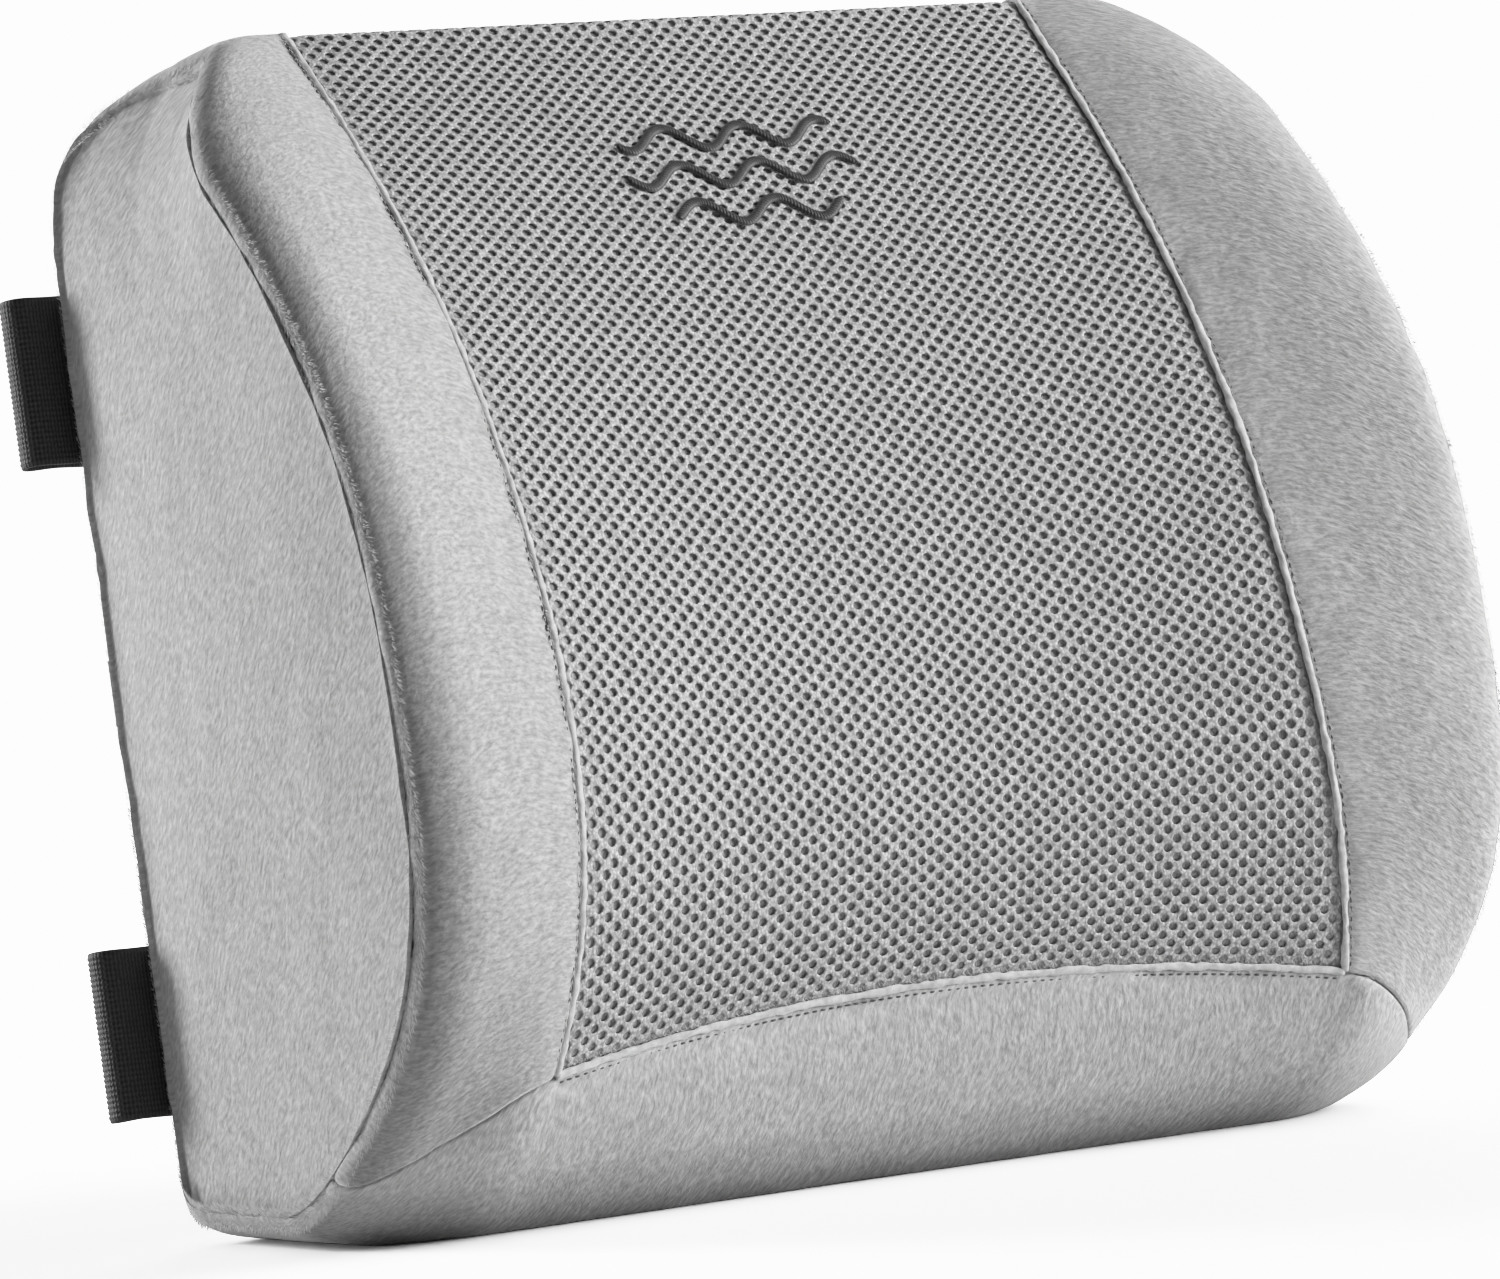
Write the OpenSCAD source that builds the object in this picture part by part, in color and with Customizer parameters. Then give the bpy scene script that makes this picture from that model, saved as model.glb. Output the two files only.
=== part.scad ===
// Lumbar support cushion: a memory foam core in a liner and a zipped cover with a mesh front,
// held to a chair by two elastic straps with side-release buckles.
// The cushion is drawn upright, x across, d forward of its flat back and z up, and then leans back.

/* [Cushion] */
// Width across the side panels
cushion_w = 336; // [316:1:350]
// Height of the upright cushion
cushion_h = 310; // [304:1:318]
// Depth of the mesh at its deepest level
belly_d = 141; // [132:1:146]
// Height of the deepest level
belly_z = 93; // [85:1:100]
// Depth of the side seam at its deepest level
side_belly_d = 147; // [140:1:152]
// How far the mesh dips between the wings
saddle = 13; // [6:0.5:16]
// Backward lean of the standing cushion, degrees
lean = 6; // [3:0.5:8]

/* [Cover] */
// Thickness of the plush and mesh panels
cover_t = 2; // [1.6:0.1:2]
// Half width of the mesh panel at mid height
mesh_half = 112; // [106:1:116]
// Radius of the welts beside the mesh
welt_r = 1.2; // [0.8:0.1:1.4]

/* [Zip] */
// Height of the zip on the back
zip_z = 148; // [140:1:156]
// Half length of the zip's coils
zip_half = 146; // [120:1:150]

/* [Straps] */
// Width of the elastic webbing
webbing_w = 44; // [38:1:44]
// Thickness of the elastic webbing
webbing_t = 1.8; // [1.4:0.1:1.8]
// Height of the lower strap's centre line
lower_strap_z = 60; // [58:1:70]
// Height of the upper strap's centre line
upper_strap_z = 231; // [220:1:236]
// Half width across the folds of a strap
strap_half = 179; // [177:1:188]
// Rest place of each strap adjuster, left of the middle
adjuster_x = 95; // [90:1:100]

/* [Hidden] */
$fn = 48;
plush = [0.72, 0.72, 0.73];
mesh_grey = [0.58, 0.58, 0.6];
black = [0.1, 0.1, 0.11];
steel = [0.62, 0.63, 0.65];

// --- outline of the cushion: two closed rings of [d, z], one at the mesh seam, one at the side seam ---
side_x = cushion_w / 2 - 3;
side_crown = 3;
shoulder_in = 22;
shoulder_z = 261;
side_top = cushion_h - 10;
side_back_top_z = 277;
back_top_z = 268;
back_low_z = 20;
foot_pivot_d = 40;
lip_z = 31;
lip_side_z = 14;
front_top_z = 290;
side_front_top_z = 262;
top_d = 63;
side_back_d = 2;
rise = [16, 3, 3, 4, 12, 3, 5, 5];
i_corner = rise[0];
i_top = i_corner + rise[1];
i_back_corner = i_top + rise[2];
i_back = i_back_corner + rise[3];
i_low = i_back + rise[4];
i_foot = i_low + rise[5];
i_lip = i_foot + rise[6];
n_ring = i_lip + rise[7];

function blend(a, b, t) = a + (b - a) * t;
function bend(a, b, c, t) = (1 - t) * (1 - t) * a + 2 * t * (1 - t) * b + t * t * c;
function foot(d) = (foot_pivot_d - d) * tan(lean);
function mesh_front(z) = z > belly_z
    ? belly_d - (belly_d - top_d) * pow((z - belly_z) / (front_top_z - belly_z), 2)
    : belly_d - 18 * pow((belly_z - z) / (belly_z - lip_z), 2);
side_belly_z = 114;
function side_front(z) = z > side_belly_z
    ? side_belly_d - 57.5 * pow((z - side_belly_z) / (side_front_top_z - side_belly_z), 2.34)
    : side_belly_d - 66.5 * pow((side_belly_z - z) / (side_belly_z - lip_side_z), 3);

mesh_at = [for (i = [0:rise[0]]) let (z = blend(lip_z, front_top_z, i / rise[0])) [mesh_front(z), z]];
side_at = [for (i = [0:rise[0]])
    let (z = blend(lip_side_z, side_front_top_z, i / rise[0])) [side_front(z), z]];

// one ring, from the lip seam up the front, over the top, down the back and forward under the foot
function ring(
    front, top_z, top_run, corner_run, back_d, blade_z, low_run, foot_rise, lip_d, lip_pull
) = let (
    head = front[rise[0]],
    slope = (head - front[rise[0] - 1]) / (head[1] - front[rise[0] - 1][1]),
    peak = head + slope * (top_z - head[1]),
    crest = [head[0] - top_run, top_z],
    nape = [back_d + corner_run, top_z - 1],
    blade = [back_d, blade_z],
    heel = [back_d, back_low_z],
    sole_back = [back_d + low_run, foot(back_d + low_run) + foot_rise],
    sole_front = [lip_d, foot(lip_d) + foot_rise],
    toe = front[0],
    toe_slope = (front[1] - toe) / (front[1][1] - toe[1]),
    toe_low = toe - toe_slope * lip_pull
) concat(
    [for (i = [0:rise[0] - 1]) front[i]],
    [for (i = [0:rise[1] - 1]) bend(head, [min(peak[0], head[0]), top_z], crest, i / rise[1])],
    [for (i = [0:rise[2] - 1]) blend(crest, nape, i / rise[2])],
    [for (i = [0:rise[3] - 1]) bend(nape, [back_d, top_z], blade, i / rise[3])],
    [for (i = [0:rise[4] - 1]) let (t = i / rise[4])
        blend([back_d, back_top_z], heel, t) + [0, (blade_z - back_top_z) * pow(1 - t, 6)]],
    [for (i = [0:rise[5] - 1]) bend(heel, [back_d, foot(back_d) + foot_rise], sole_back, i / rise[5])],
    [for (i = [0:rise[6] - 1]) blend(sole_back, sole_front, i / rise[6])],
    [for (i = [0:rise[7] - 1]) bend(sole_front, toe_low, toe, i / rise[7])]
);
mesh_ring = ring(mesh_at, cushion_h, 16, 22, 0, back_top_z, 12, 0, 80, 20);
side_ring = ring(side_at, side_top, 36, 38, side_back_d, side_back_top_z, 10, 9, 58, 5);

function unit(v) = v / norm(v);
function ring_normal(r, i) = let (t = r[(i + 1) % n_ring] - r[(i + n_ring - 1) % n_ring])
    unit([t[1], -t[0]]);
mesh_normal = [for (i = [0:n_ring - 1]) ring_normal(mesh_ring, i)];
side_normal = [for (i = [0:n_ring - 1]) ring_normal(side_ring, i)];

// half width at the mesh seam and at the side seam for one ring point
mesh_flare_low = 10;
mesh_flare_high = 3;
function mesh_x(i) = let (z = mesh_ring[i][1])
    mesh_half + mesh_flare_low * pow(max(0, min(1, (150 - z) / 120)), 2)
    + mesh_flare_high * pow(max(0, min(1, (z - 200) / 110)), 2);
function side_at_x(i) = let (d = side_ring[i][0], z = side_ring[i][1])
    side_x - shoulder_in * pow(max(0, min(1, (z - shoulder_z) / (side_top - shoulder_z))), 2)
    * max(0, min(1, (d + 23) / 57));

// a value that is a over the front, b at the top, c on the back and e under the foot
function around(i, a, b, c, e) =
    i <= i_corner ? a
    : i <= i_top ? blend(a, b, (i - i_corner) / rise[1])
    : i <= i_back_corner ? b
    : i <= i_back ? blend(b, c, (i - i_back_corner) / rise[3])
    : i <= i_low ? c
    : i <= i_foot ? blend(c, e, (i - i_low) / rise[5])
    : i <= i_lip ? e
    : blend(e, a, (i - i_lip) / rise[7]);
lip_dip = 0.65;
top_dip = 0.29;
function dip(i) = saddle * (
    i <= i_corner ? (lip_dip + 0.35 * sin(180 * i / i_corner)) * (1 - 0.55 * pow(i / i_corner, 3))
    : i < i_lip ? around(i, top_dip, 0, 0, 0)
    : lip_dip * (i - i_lip) / rise[7]
);
seam_arch = 7;
arch_rings = 5;
function arch(i) = seam_arch * (
    i <= arch_rings ? 1 - i / arch_rings
    : i >= i_lip ? (i - i_lip) / rise[7]
    : 0
);

// --- the skin: columns run from the left side seam (0) over the mesh to the right side seam (n_col) ---
n_wing = 4;
n_mid = 6;
n_col = 2 * n_wing + n_mid;
function cubic(a, b, c, d, t) =
    pow(1 - t, 3) * a + 3 * t * pow(1 - t, 2) * b + 3 * t * t * (1 - t) * c + pow(t, 3) * d;
function wing_point(i, g, inset) = let (
    x0 = mesh_x(i),
    x3 = side_at_x(i),
    m = mesh_ring[i] - mesh_normal[i] * inset,
    m1 = m + mesh_normal[i] * around(i, 8, 0, 0, 0),
    s = side_ring[i],
    s1 = s + side_normal[i] * (around(i, 13, 10, 2.6, 9) - inset),
    x = cubic(x0, blend(x0, x3, 0.42), x3 - inset, x3 - inset, g),
    p = cubic(m, m1, s1, s, g)
) [x, p[0], p[1]];
function mid_point(i, c, inset) = let (
    p = mesh_ring[i] - mesh_normal[i] * (inset + dip(i) * (1 - c * c))
) [c * mesh_x(i), p[0], p[1] + arch(i) * (1 - c * c)];
function flip(p) = [-p[0], p[1], p[2]];
function skin_point(i, j, inset) =
    j < n_wing ? flip(wing_point(i, 1 - j / n_wing, inset))
    : j <= n_wing + n_mid ? mid_point(i, 2 * (j - n_wing) / n_mid - 1, inset)
    : wing_point(i, (j - n_wing - n_mid) / n_wing, inset);
function skin(inset) = [for (i = [0:n_ring - 1]) [for (j = [0:n_col]) skin_point(i, j, inset)]];

liner_in = cover_t + 0.4;
liner_t = 0.6;
core_in = liner_in + liner_t + 0.3;
skin_outer = skin(0);
skin_cover = skin(cover_t);
skin_liner = skin(liner_in);
skin_liner_inner = skin(liner_in + liner_t);
skin_core = skin(core_in);

// a point between the grid's own points
function on(grid, u, v) = let (
    i = floor(u),
    j = min(floor(v), n_col - 1),
    a = grid[i % n_ring],
    b = grid[(i + 1) % n_ring],
    p = blend(a[j], a[j + 1], v - j),
    q = blend(b[j], b[j + 1], v - j)
) blend(p, q, u - i);
function steps(a, b) = concat([a], [for (k = [floor(a) + 1:ceil(b) - 1]) k], [b]);

// --- from the upright drawing to the standing part: y runs backward ---
function stand(p) = let (y = -p[1] * cos(lean) + p[2] * sin(lean), z = p[1] * sin(lean) + p[2] * cos(lean))
    [p[0], y + shift_y, z - foot_pivot_d * sin(lean)];
buckle_t = 11;
buckle_z = 26;
bar_d = -13.9;
front_y = min([for (row = skin_outer) for (p = row) -p[1] * cos(lean) + p[2] * sin(lean)]);
back_y = (buckle_t / 2 - bar_d) * cos(lean) + (upper_strap_z + buckle_z) * sin(lean);
shift_y = -(front_y + back_y) / 2;
module standing() {
    translate([0, shift_y, -foot_pivot_d * sin(lean)])
        rotate([-lean, 0, 0])
            children();
}
// a box in the upright drawing, from x, d and z ranges
module block(x, d, z) {
    translate([x[0], -d[1], z[0]])
        cube([x[1] - x[0], d[1] - d[0], z[1] - z[0]]);
}

// --- closed solids made from grids of points ---
function quads(rows, cols, at, step, turn) = [
    for (i = [0:rows - 2]) for (j = [0:cols - 2]) let (
        a = at + i * step + j,
        b = a + 1,
        c = a + step,
        d = c + 1
    ) each turn ? [[a, b, d], [a, d, c]] : [[a, d, b], [a, c, d]]
];
// a sheet between two grids of the same size
module sheet(outer, inner) {
    rows = len(outer);
    cols = len(outer[0]);
    n = rows * cols;
    points = concat([for (row = outer) each row], [for (row = inner) each row]);
    last = (rows - 1) * cols;
    rims = concat(
        [for (j = [0:cols - 2]) each [[j, j + n, j + 1 + n], [j, j + 1 + n, j + 1]]],
        [for (j = [0:cols - 2]) let (a = last + j) each [[a, a + 1 + n, a + n], [a, a + 1, a + 1 + n]]],
        [for (i = [0:rows - 2]) let (a = i * cols, b = a + cols) each [[a, b + n, a + n], [a, b, b + n]]],
        [for (i = [0:rows - 2]) let (a = (i + 1) * cols - 1, b = a + cols)
            each [[a, a + n, b + n], [a, b + n, b]]]
    );
    faces = concat(quads(rows, cols, 0, cols, true), quads(rows, cols, n, cols, false), rims);
    polyhedron([for (p = points) stand(p)], faces);
}
module panel(u, v, outer, inner) {
    us = steps(u[0], u[1]);
    vs = steps(v[0], v[1]);
    sheet([for (a = us) [for (b = vs) on(outer, a, b)]], [for (a = us) [for (b = vs) on(inner, a, b)]]);
}
// rings joined end to end, closed by a fan at each end; from ring turn_at on, the other diagonal is used,
// so that caps which shrink towards their middle have the same facets as the layer beside them
function centre(r) = [for (k = [0:2]) [for (p = r) p[k]] * [for (p = r) 1] / len(r)];
module stack(rings, turn_at = 1000) {
    n = len(rings[0]);
    m = len(rings);
    points = concat([for (r = rings) each r], [centre(rings[0]), centre(rings[m - 1])]);
    faces = concat(
        [for (k = [0:m - 2]) for (i = [0:n - 1]) let (a = k * n + i, b = k * n + (i + 1) % n)
            each k < turn_at ? [[a, b, b + n], [a, b + n, a + n]] : [[a, b, a + n], [b, b + n, a + n]]],
        [for (i = [0:n - 1]) [n * m, (i + 1) % n, i]],
        [for (i = [0:n - 1]) [n * m + 1, (m - 1) * n + i, (m - 1) * n + (i + 1) % n]]
    );
    polyhedron([for (p = points) stand(p)], faces);
}

// --- side caps: the side ring shrunk towards its middle, with a crown ---
cap_mid = [62, 150];
cap_scales = [0.08, 0.3, 0.6, 0.86];
function cap_ring(s, inset) = [for (i = [0:n_ring - 1]) let (
    p = blend(cap_mid, side_ring[i], s),
    x = side_x + side_crown * (1 - s * s) - (side_x - side_at_x(i)) * pow(s, 6) - inset
) [x, p[0], p[1]]];
function flip_ring(r) = [for (p = r) flip(p)];
function backwards(list) = [for (k = [len(list) - 1:-1:0]) list[k]];
module cap(left, outer_in, inner_in) {
    scales = concat(cap_scales, [0.994]);
    dish = concat(
        [for (s = scales) cap_ring(s, inner_in)],
        [for (s = backwards(scales)) cap_ring(s, outer_in)]
    );
    if (left)
        stack(backwards([for (r = dish) flip_ring(r)]), len(scales));
    else
        stack(dish, len(scales));
}

// --- soft pieces ---
gap_u = 0.02;
gap_mid = 0.006;
gap_wing = 0.018;
u_back_seam = i_back + 0.4;
u_heel_seam = i_low + 0.5;
function u_at(z) = i_back + rise[4] * (back_top_z - z) / (back_top_z - back_low_z);
zip_window = 8;

module foam_core() {
    left_rings = [for (s = cap_scales) flip_ring(cap_ring(s, core_in))];
    columns = [for (j = [0:n_col]) [for (i = [0:n_ring - 1]) skin_core[i][j]]];
    right_rings = [for (s = backwards(cap_scales)) cap_ring(s, core_in)];
    color([0.9, 0.87, 0.76])
        stack(concat(left_rings, columns, right_rings), len(left_rings) + n_col);
}
module inner_liner_body() {
    color([0.93, 0.93, 0.92])
        panel([0, n_ring - 0.1], [0, n_col], skin_liner, skin_liner_inner);
}
module inner_liner_end_left() {
    color([0.93, 0.93, 0.92])
        cap(true, liner_in, liner_in + liner_t);
}
module inner_liner_end_right() {
    color([0.93, 0.93, 0.92])
        cap(false, liner_in, liner_in + liner_t);
}
module mesh_panel() {
    color(mesh_grey)
        panel(
            [gap_u, u_back_seam - gap_u], [n_wing + gap_mid, n_wing + n_mid - gap_mid],
            skin_outer, skin_cover
        );
}
module left_wing_panel() {
    color(plush)
        panel([gap_u, u_back_seam - gap_u], [0, n_wing - gap_wing], skin_outer, skin_cover);
}
module right_wing_panel() {
    color(plush)
        panel(
            [gap_u, u_back_seam - gap_u], [n_wing + n_mid + gap_wing, n_col],
            skin_outer, skin_cover
        );
}
module left_side_panel() {
    color(plush)
        cap(true, 0, cover_t);
}
module right_side_panel() {
    color(plush)
        cap(false, 0, cover_t);
}
module bottom_panel() {
    color(plush)
        panel([u_heel_seam + gap_u, n_ring - gap_u], [0, n_col], skin_outer, skin_cover);
}
module back_upper_panel() {
    color(plush)
        panel([u_back_seam + gap_u, u_at(zip_z + zip_window)], [0, n_col], skin_outer, skin_cover);
}
module back_lower_panel() {
    color(plush)
        panel([u_at(zip_z - zip_window), u_heel_seam - gap_u], [0, n_col], skin_outer, skin_cover);
}

// --- welts: thin cords that stand just outside the mesh seams ---
welt_sides = 6;
welt_out = welt_r + 0.35;
skin_welt = skin(-welt_out);
function ring_about(p, along, out) = let (side = cross(out, along))
    [for (k = [0:welt_sides - 1]) let (a = 360 * k / welt_sides)
        p + welt_r * (cos(a) * out + sin(a) * side)];
module cord_along(points, outs) {
    last = len(points) - 1;
    stack([for (k = [0:last]) let (
        along = unit(points[min(k + 1, last)] - points[max(k - 1, 0)]),
        out = unit(outs[k] - along * (outs[k] * along))
    ) ring_about(points[k], along, out)]);
}
welt_clear = 0.12;
function welt_out_at(u, v) = on(skin_welt, u, v) - on(skin_outer, u, v);
module side_welt(v) {
    us = [for (k = [0:i_back_corner]) k + (k == 0 ? welt_clear : 0)];
    cord_along([for (u = us) on(skin_welt, u, v)], [for (u = us) welt_out_at(u, v)]);
}
module left_mesh_welt() {
    color(plush)
        side_welt(n_wing);
}
module right_mesh_welt() {
    color(plush)
        side_welt(n_wing + n_mid);
}
module bottom_mesh_welt() {
    last = 2 * n_mid;
    vs = [for (k = [0:last]) n_wing + k / 2 + (k == 0 ? welt_clear : k == last ? -welt_clear : 0)];
    color(plush)
        cord_along([for (v = vs) on(skin_welt, 0, v)], [for (v = vs) welt_out_at(0, v)]);
}

// three satin-stitched waves near the top of the mesh
motif_z = 262;
motif_pitch = 11;
motif_wave = 24;
motif_swing = 3.2;
motif_reach = 36;
stroke_w = 2.4;
stroke_steps = 28;
skin_motif_low = skin(-0.35);
skin_motif_high = skin(-1.15);
function on_mesh(grid, x, z) = let (u = rise[0] * (z - lip_z) / (front_top_z - lip_z))
    on(grid, u, n_wing + n_mid * (x / (mesh_half + 1.5) + 1) / 2);
function wave(x, k) = motif_z - k * motif_pitch + motif_swing * sin(360 * x / motif_wave);
function stroke(grid, k, reach) = [for (e = [-0.5, 0.5])
    [for (s = [0:stroke_steps]) let (x = blend(-reach, reach, s / stroke_steps))
        on_mesh(grid, x, wave(x, k) + e * stroke_w)]];
module embroidered_motif() {
    color([0.2, 0.2, 0.21])
        for (k = [-1:1]) {
            reach = motif_reach - 6 * abs(k) - 4 * k;
            sheet(stroke(skin_motif_high, k, reach), stroke(skin_motif_low, k, reach));
        }
}
// a blank label sewn below the zip
label_x = [-112, -84];
label_top = zip_z - zip_window - 3;
label_h = 33;
module care_label() {
    color([0.92, 0.92, 0.9])
        standing()
            block(label_x, [-0.55, -0.25], [label_top - label_h, label_top]);
}

// --- zip: two tapes under the panel edges, two coils and a slider whose wedge runs between them ---
coil_r = 1.1;
coil_apart = 1.8;
coil_d = -1;
tape_end = 12;
stop_w = 2;
module zip_tape(side) {
    z0 = side > 0 ? zip_z + 1.6 : zip_z - zip_window + 0.3;
    z1 = side > 0 ? zip_z + zip_window - 0.3 : zip_z - 1.6;
    color([0.6, 0.6, 0.61])
        standing()
            block([-cushion_w / 2 + tape_end, cushion_w / 2 - tape_end], [0.3, 0.9], [z0, z1]);
}
module zip_tape_upper() {
    zip_tape(1);
}
module zip_tape_lower() {
    zip_tape(-1);
}
module zip_coil(side) {
    color([0.55, 0.55, 0.57])
        standing()
            translate([-zip_half, -coil_d, zip_z + side * coil_apart])
                rotate([0, 90, 0])
                    cylinder(r = coil_r, h = 2 * zip_half);
}
module zip_coil_upper() {
    zip_coil(1);
}
module zip_coil_lower() {
    zip_coil(-1);
}
module zip_end_stops() {
    color(steel)
        standing()
            for (x = [-zip_half - stop_w - 0.2, zip_half + 0.2])
                block([x, x + stop_w], [-2.3, 0.1], [zip_z - 3, zip_z + 3]);
}
slider_half = 6;
slider_x = zip_half - 1 - slider_half;
slider_z = 4.9;
pull_d = -5;
pull_r = 0.8;
pull_half = 3.6;
pull_long = 29;
module zip_slider() {
    color(steel)
        standing()
            translate([slider_x, 0, zip_z]) {
                block([-slider_half, slider_half], [-3.6, -2.5], [-slider_z, slider_z]);
                block([-slider_half, slider_half], [1.2, 2], [-slider_z, slider_z]);
                block([1, 4.5], [-2.6, 1.3], [-0.4, 0.4]);
                for (z = [-slider_z, slider_z - 0.8])
                    block([-slider_half, slider_half], [-2.6, 0], [z, z + 0.8]);
                block([-3.9, -2.9], [-6.5, -3.5], [-2, 2]);
                block([2.9, 3.9], [-6.5, -3.5], [-2, 2]);
                block([-3.9, 3.9], [-7.4, -6.4], [-2, 2]);
            }
}
module zip_pull() {
    color(steel)
        standing()
            translate([slider_x, -pull_d, zip_z]) {
                translate([0, 0, -pull_half])
                    cylinder(r = pull_r, h = 2 * pull_half);
                for (z = [-pull_half, pull_half - 1])
                    block([-6.4, 0], [-0.6, 0.6], [z, z + 1]);
                difference() {
                    block([-pull_long, -5.4], [-0.6, 0.6], [-pull_half, pull_half]);
                    translate([3.8 - pull_long, 2, 0])
                        rotate([90, 0, 0])
                            cylinder(r = 1.6, h = 4);
                }
            }
}

// --- straps: sewn to the cushion's back edges, folded back and joined by a buckle behind it ---
layer_in_d = -1.4;
layer_out_d = -11.2;
fold_d = (layer_in_d + layer_out_d) / 2;
fold_r = (layer_in_d - layer_out_d) / 2;
fold_x = strap_half - fold_r - webbing_t / 2;
sewn_x = 148;
bar_x = 28.5;
bar_r = 1.5;
loop_r = bar_d - layer_out_d;
return_d = 2 * bar_d - layer_out_d;
return_x = 56;
module half_tube(x, d, mid_r, z, side) {
    translate([x, -d, z - webbing_w / 2])
        intersection() {
            difference() {
                cylinder(r = mid_r + webbing_t / 2, h = webbing_w);
                translate([0, 0, -1])
                    cylinder(r = mid_r - webbing_t / 2, h = webbing_w + 2);
            }
            translate([side > 0 ? 0 : -40, -20, -1])
                cube([40, 40, webbing_w + 2]);
        }
}
module layer(x0, x1, d, z) {
    block([x0, x1], [d - webbing_t / 2, d + webbing_t / 2], [z - webbing_w / 2, z + webbing_w / 2]);
}
span_end_x = 166;
module strap_left_webbing(z) {
    color(black)
        standing() {
            layer(-fold_x, -sewn_x, layer_in_d, z);
            half_tube(-fold_x, fold_d, fold_r, z, -1);
            layer(-fold_x, -bar_x, layer_out_d, z);
            half_tube(-bar_x, bar_d, abs(loop_r), z, 1);
            layer(-return_x, -bar_x, return_d, z);
        }
}
module strap_right_anchor(z) {
    color(black)
        standing() {
            layer(sewn_x, fold_x, layer_in_d, z);
            half_tube(fold_x, fold_d, fold_r, z, 1);
            layer(span_end_x, fold_x, layer_out_d, z);
        }
}
module strap_right_span(z) {
    color(black)
        standing() {
            layer(bar_x, span_end_x, layer_out_d, z);
            half_tube(bar_x, bar_d, abs(loop_r), z, -1);
            layer(bar_x, return_x, return_d, z);
        }
}
tack_w = 3;
tack_half = 16;
module tack(x, d, z) {
    block([x, x + tack_w], [d - 1.5, d - 0.9], [z - tack_half, z + tack_half]);
}
module strap_bar_tacks(z) {
    color([0.2, 0.2, 0.21])
        standing() {
            tack(5 - return_x, return_d, z);
            for (x = [-sewn_x - 2 * tack_w, sewn_x + tack_w])
                tack(x, layer_in_d, z);
        }
}
adjuster_z = webbing_w / 2 + 0.4;
adjuster_half = 11;
adjuster_t = 7;
module strap_adjuster(z) {
    color(black)
        standing()
            translate([-adjuster_x, 0, z]) {
                back = layer_out_d - adjuster_t / 2;
                front = layer_out_d + adjuster_t / 2;
                span = [-adjuster_z - 1, adjuster_z + 1];
                for (s = [-adjuster_z - 4, adjuster_z])
                    block([-adjuster_half, adjuster_half], [back, front], [s, s + 4]);
                for (x = [-adjuster_half, adjuster_half - 3])
                    block([x, x + 3], [back, layer_out_d - 1.3], span);
                block([-2, 2], [layer_out_d + 1.3, front], span);
            }
}

// --- side-release buckle: a socket on the left webbing and a plug on the right ---
rail_z = webbing_w / 2 + 0.8;
mouth_x = 6;
prong_d = 2;
buckle_d = [bar_d - buckle_t / 2, bar_d + buckle_t / 2];
module web_end(side, z) {
    far = side * (bar_x + 2.5);
    near = side * (bar_x - 4.2);
    for (s = [-buckle_z, rail_z])
        block([min(far, near), max(far, near)], buckle_d, [z + s, z + s + buckle_z - rail_z]);
    translate([side * bar_x, -bar_d, z - buckle_z + 1])
        cylinder(r = bar_r, h = 2 * buckle_z - 2);
}
module buckle_socket(z) {
    color(black)
        standing() {
            difference() {
                block([-bar_x + 4, mouth_x], buckle_d, [z - buckle_z, z + buckle_z]);
                block([-12, mouth_x + 1], [bar_d - 3, bar_d + 3], [z - 21, z + 21]);
                block([-8.6, -0.6], [bar_d - 3, bar_d + 3], [z - buckle_z - 1, z + buckle_z + 1]);
            }
            web_end(-1, z);
        }
}
module buckle_plug(z) {
    color(black)
        standing() {
            block([mouth_x + 0.5, bar_x - 4], buckle_d, [z - buckle_z, z + buckle_z]);
            block([-9, mouth_x + 1], [bar_d - 2.2, bar_d + 2.2], [z - 3, z + 3]);
            web_end(1, z);
        }
}
module buckle_prongs(z) {
    color(black)
        standing()
            for (side = [-1, 1])
                translate([0, -bar_d + prong_d, z])
                    rotate([90, 0, 0])
                        scale([1, side, 1])
                            linear_extrude(2 * prong_d)
                                polygon([
                                    [mouth_x + 0.5, 13], [mouth_x + 0.5, 18], [0, 18],
                                    [-1.4, 20], [-1.4, 25], [-4, 25.4], [-8, 22],
                                    [-11, 16], [-9, 15], [-2, 14]
                                ]);
}

module lower_strap_left_webbing() {
    strap_left_webbing(lower_strap_z);
}
module lower_strap_right_anchor() {
    strap_right_anchor(lower_strap_z);
}
module lower_strap_right_span() {
    strap_right_span(lower_strap_z);
}
module lower_strap_bar_tacks() {
    strap_bar_tacks(lower_strap_z);
}
module lower_strap_adjuster() {
    strap_adjuster(lower_strap_z);
}
module lower_buckle_socket() {
    buckle_socket(lower_strap_z);
}
module lower_buckle_plug() {
    buckle_plug(lower_strap_z);
}
module lower_buckle_prongs() {
    buckle_prongs(lower_strap_z);
}
module upper_strap_left_webbing() {
    strap_left_webbing(upper_strap_z);
}
module upper_strap_right_anchor() {
    strap_right_anchor(upper_strap_z);
}
module upper_strap_right_span() {
    strap_right_span(upper_strap_z);
}
module upper_strap_bar_tacks() {
    strap_bar_tacks(upper_strap_z);
}
module upper_strap_adjuster() {
    strap_adjuster(upper_strap_z);
}
module upper_buckle_socket() {
    buckle_socket(upper_strap_z);
}
module upper_buckle_plug() {
    buckle_plug(upper_strap_z);
}
module upper_buckle_prongs() {
    buckle_prongs(upper_strap_z);
}

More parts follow.
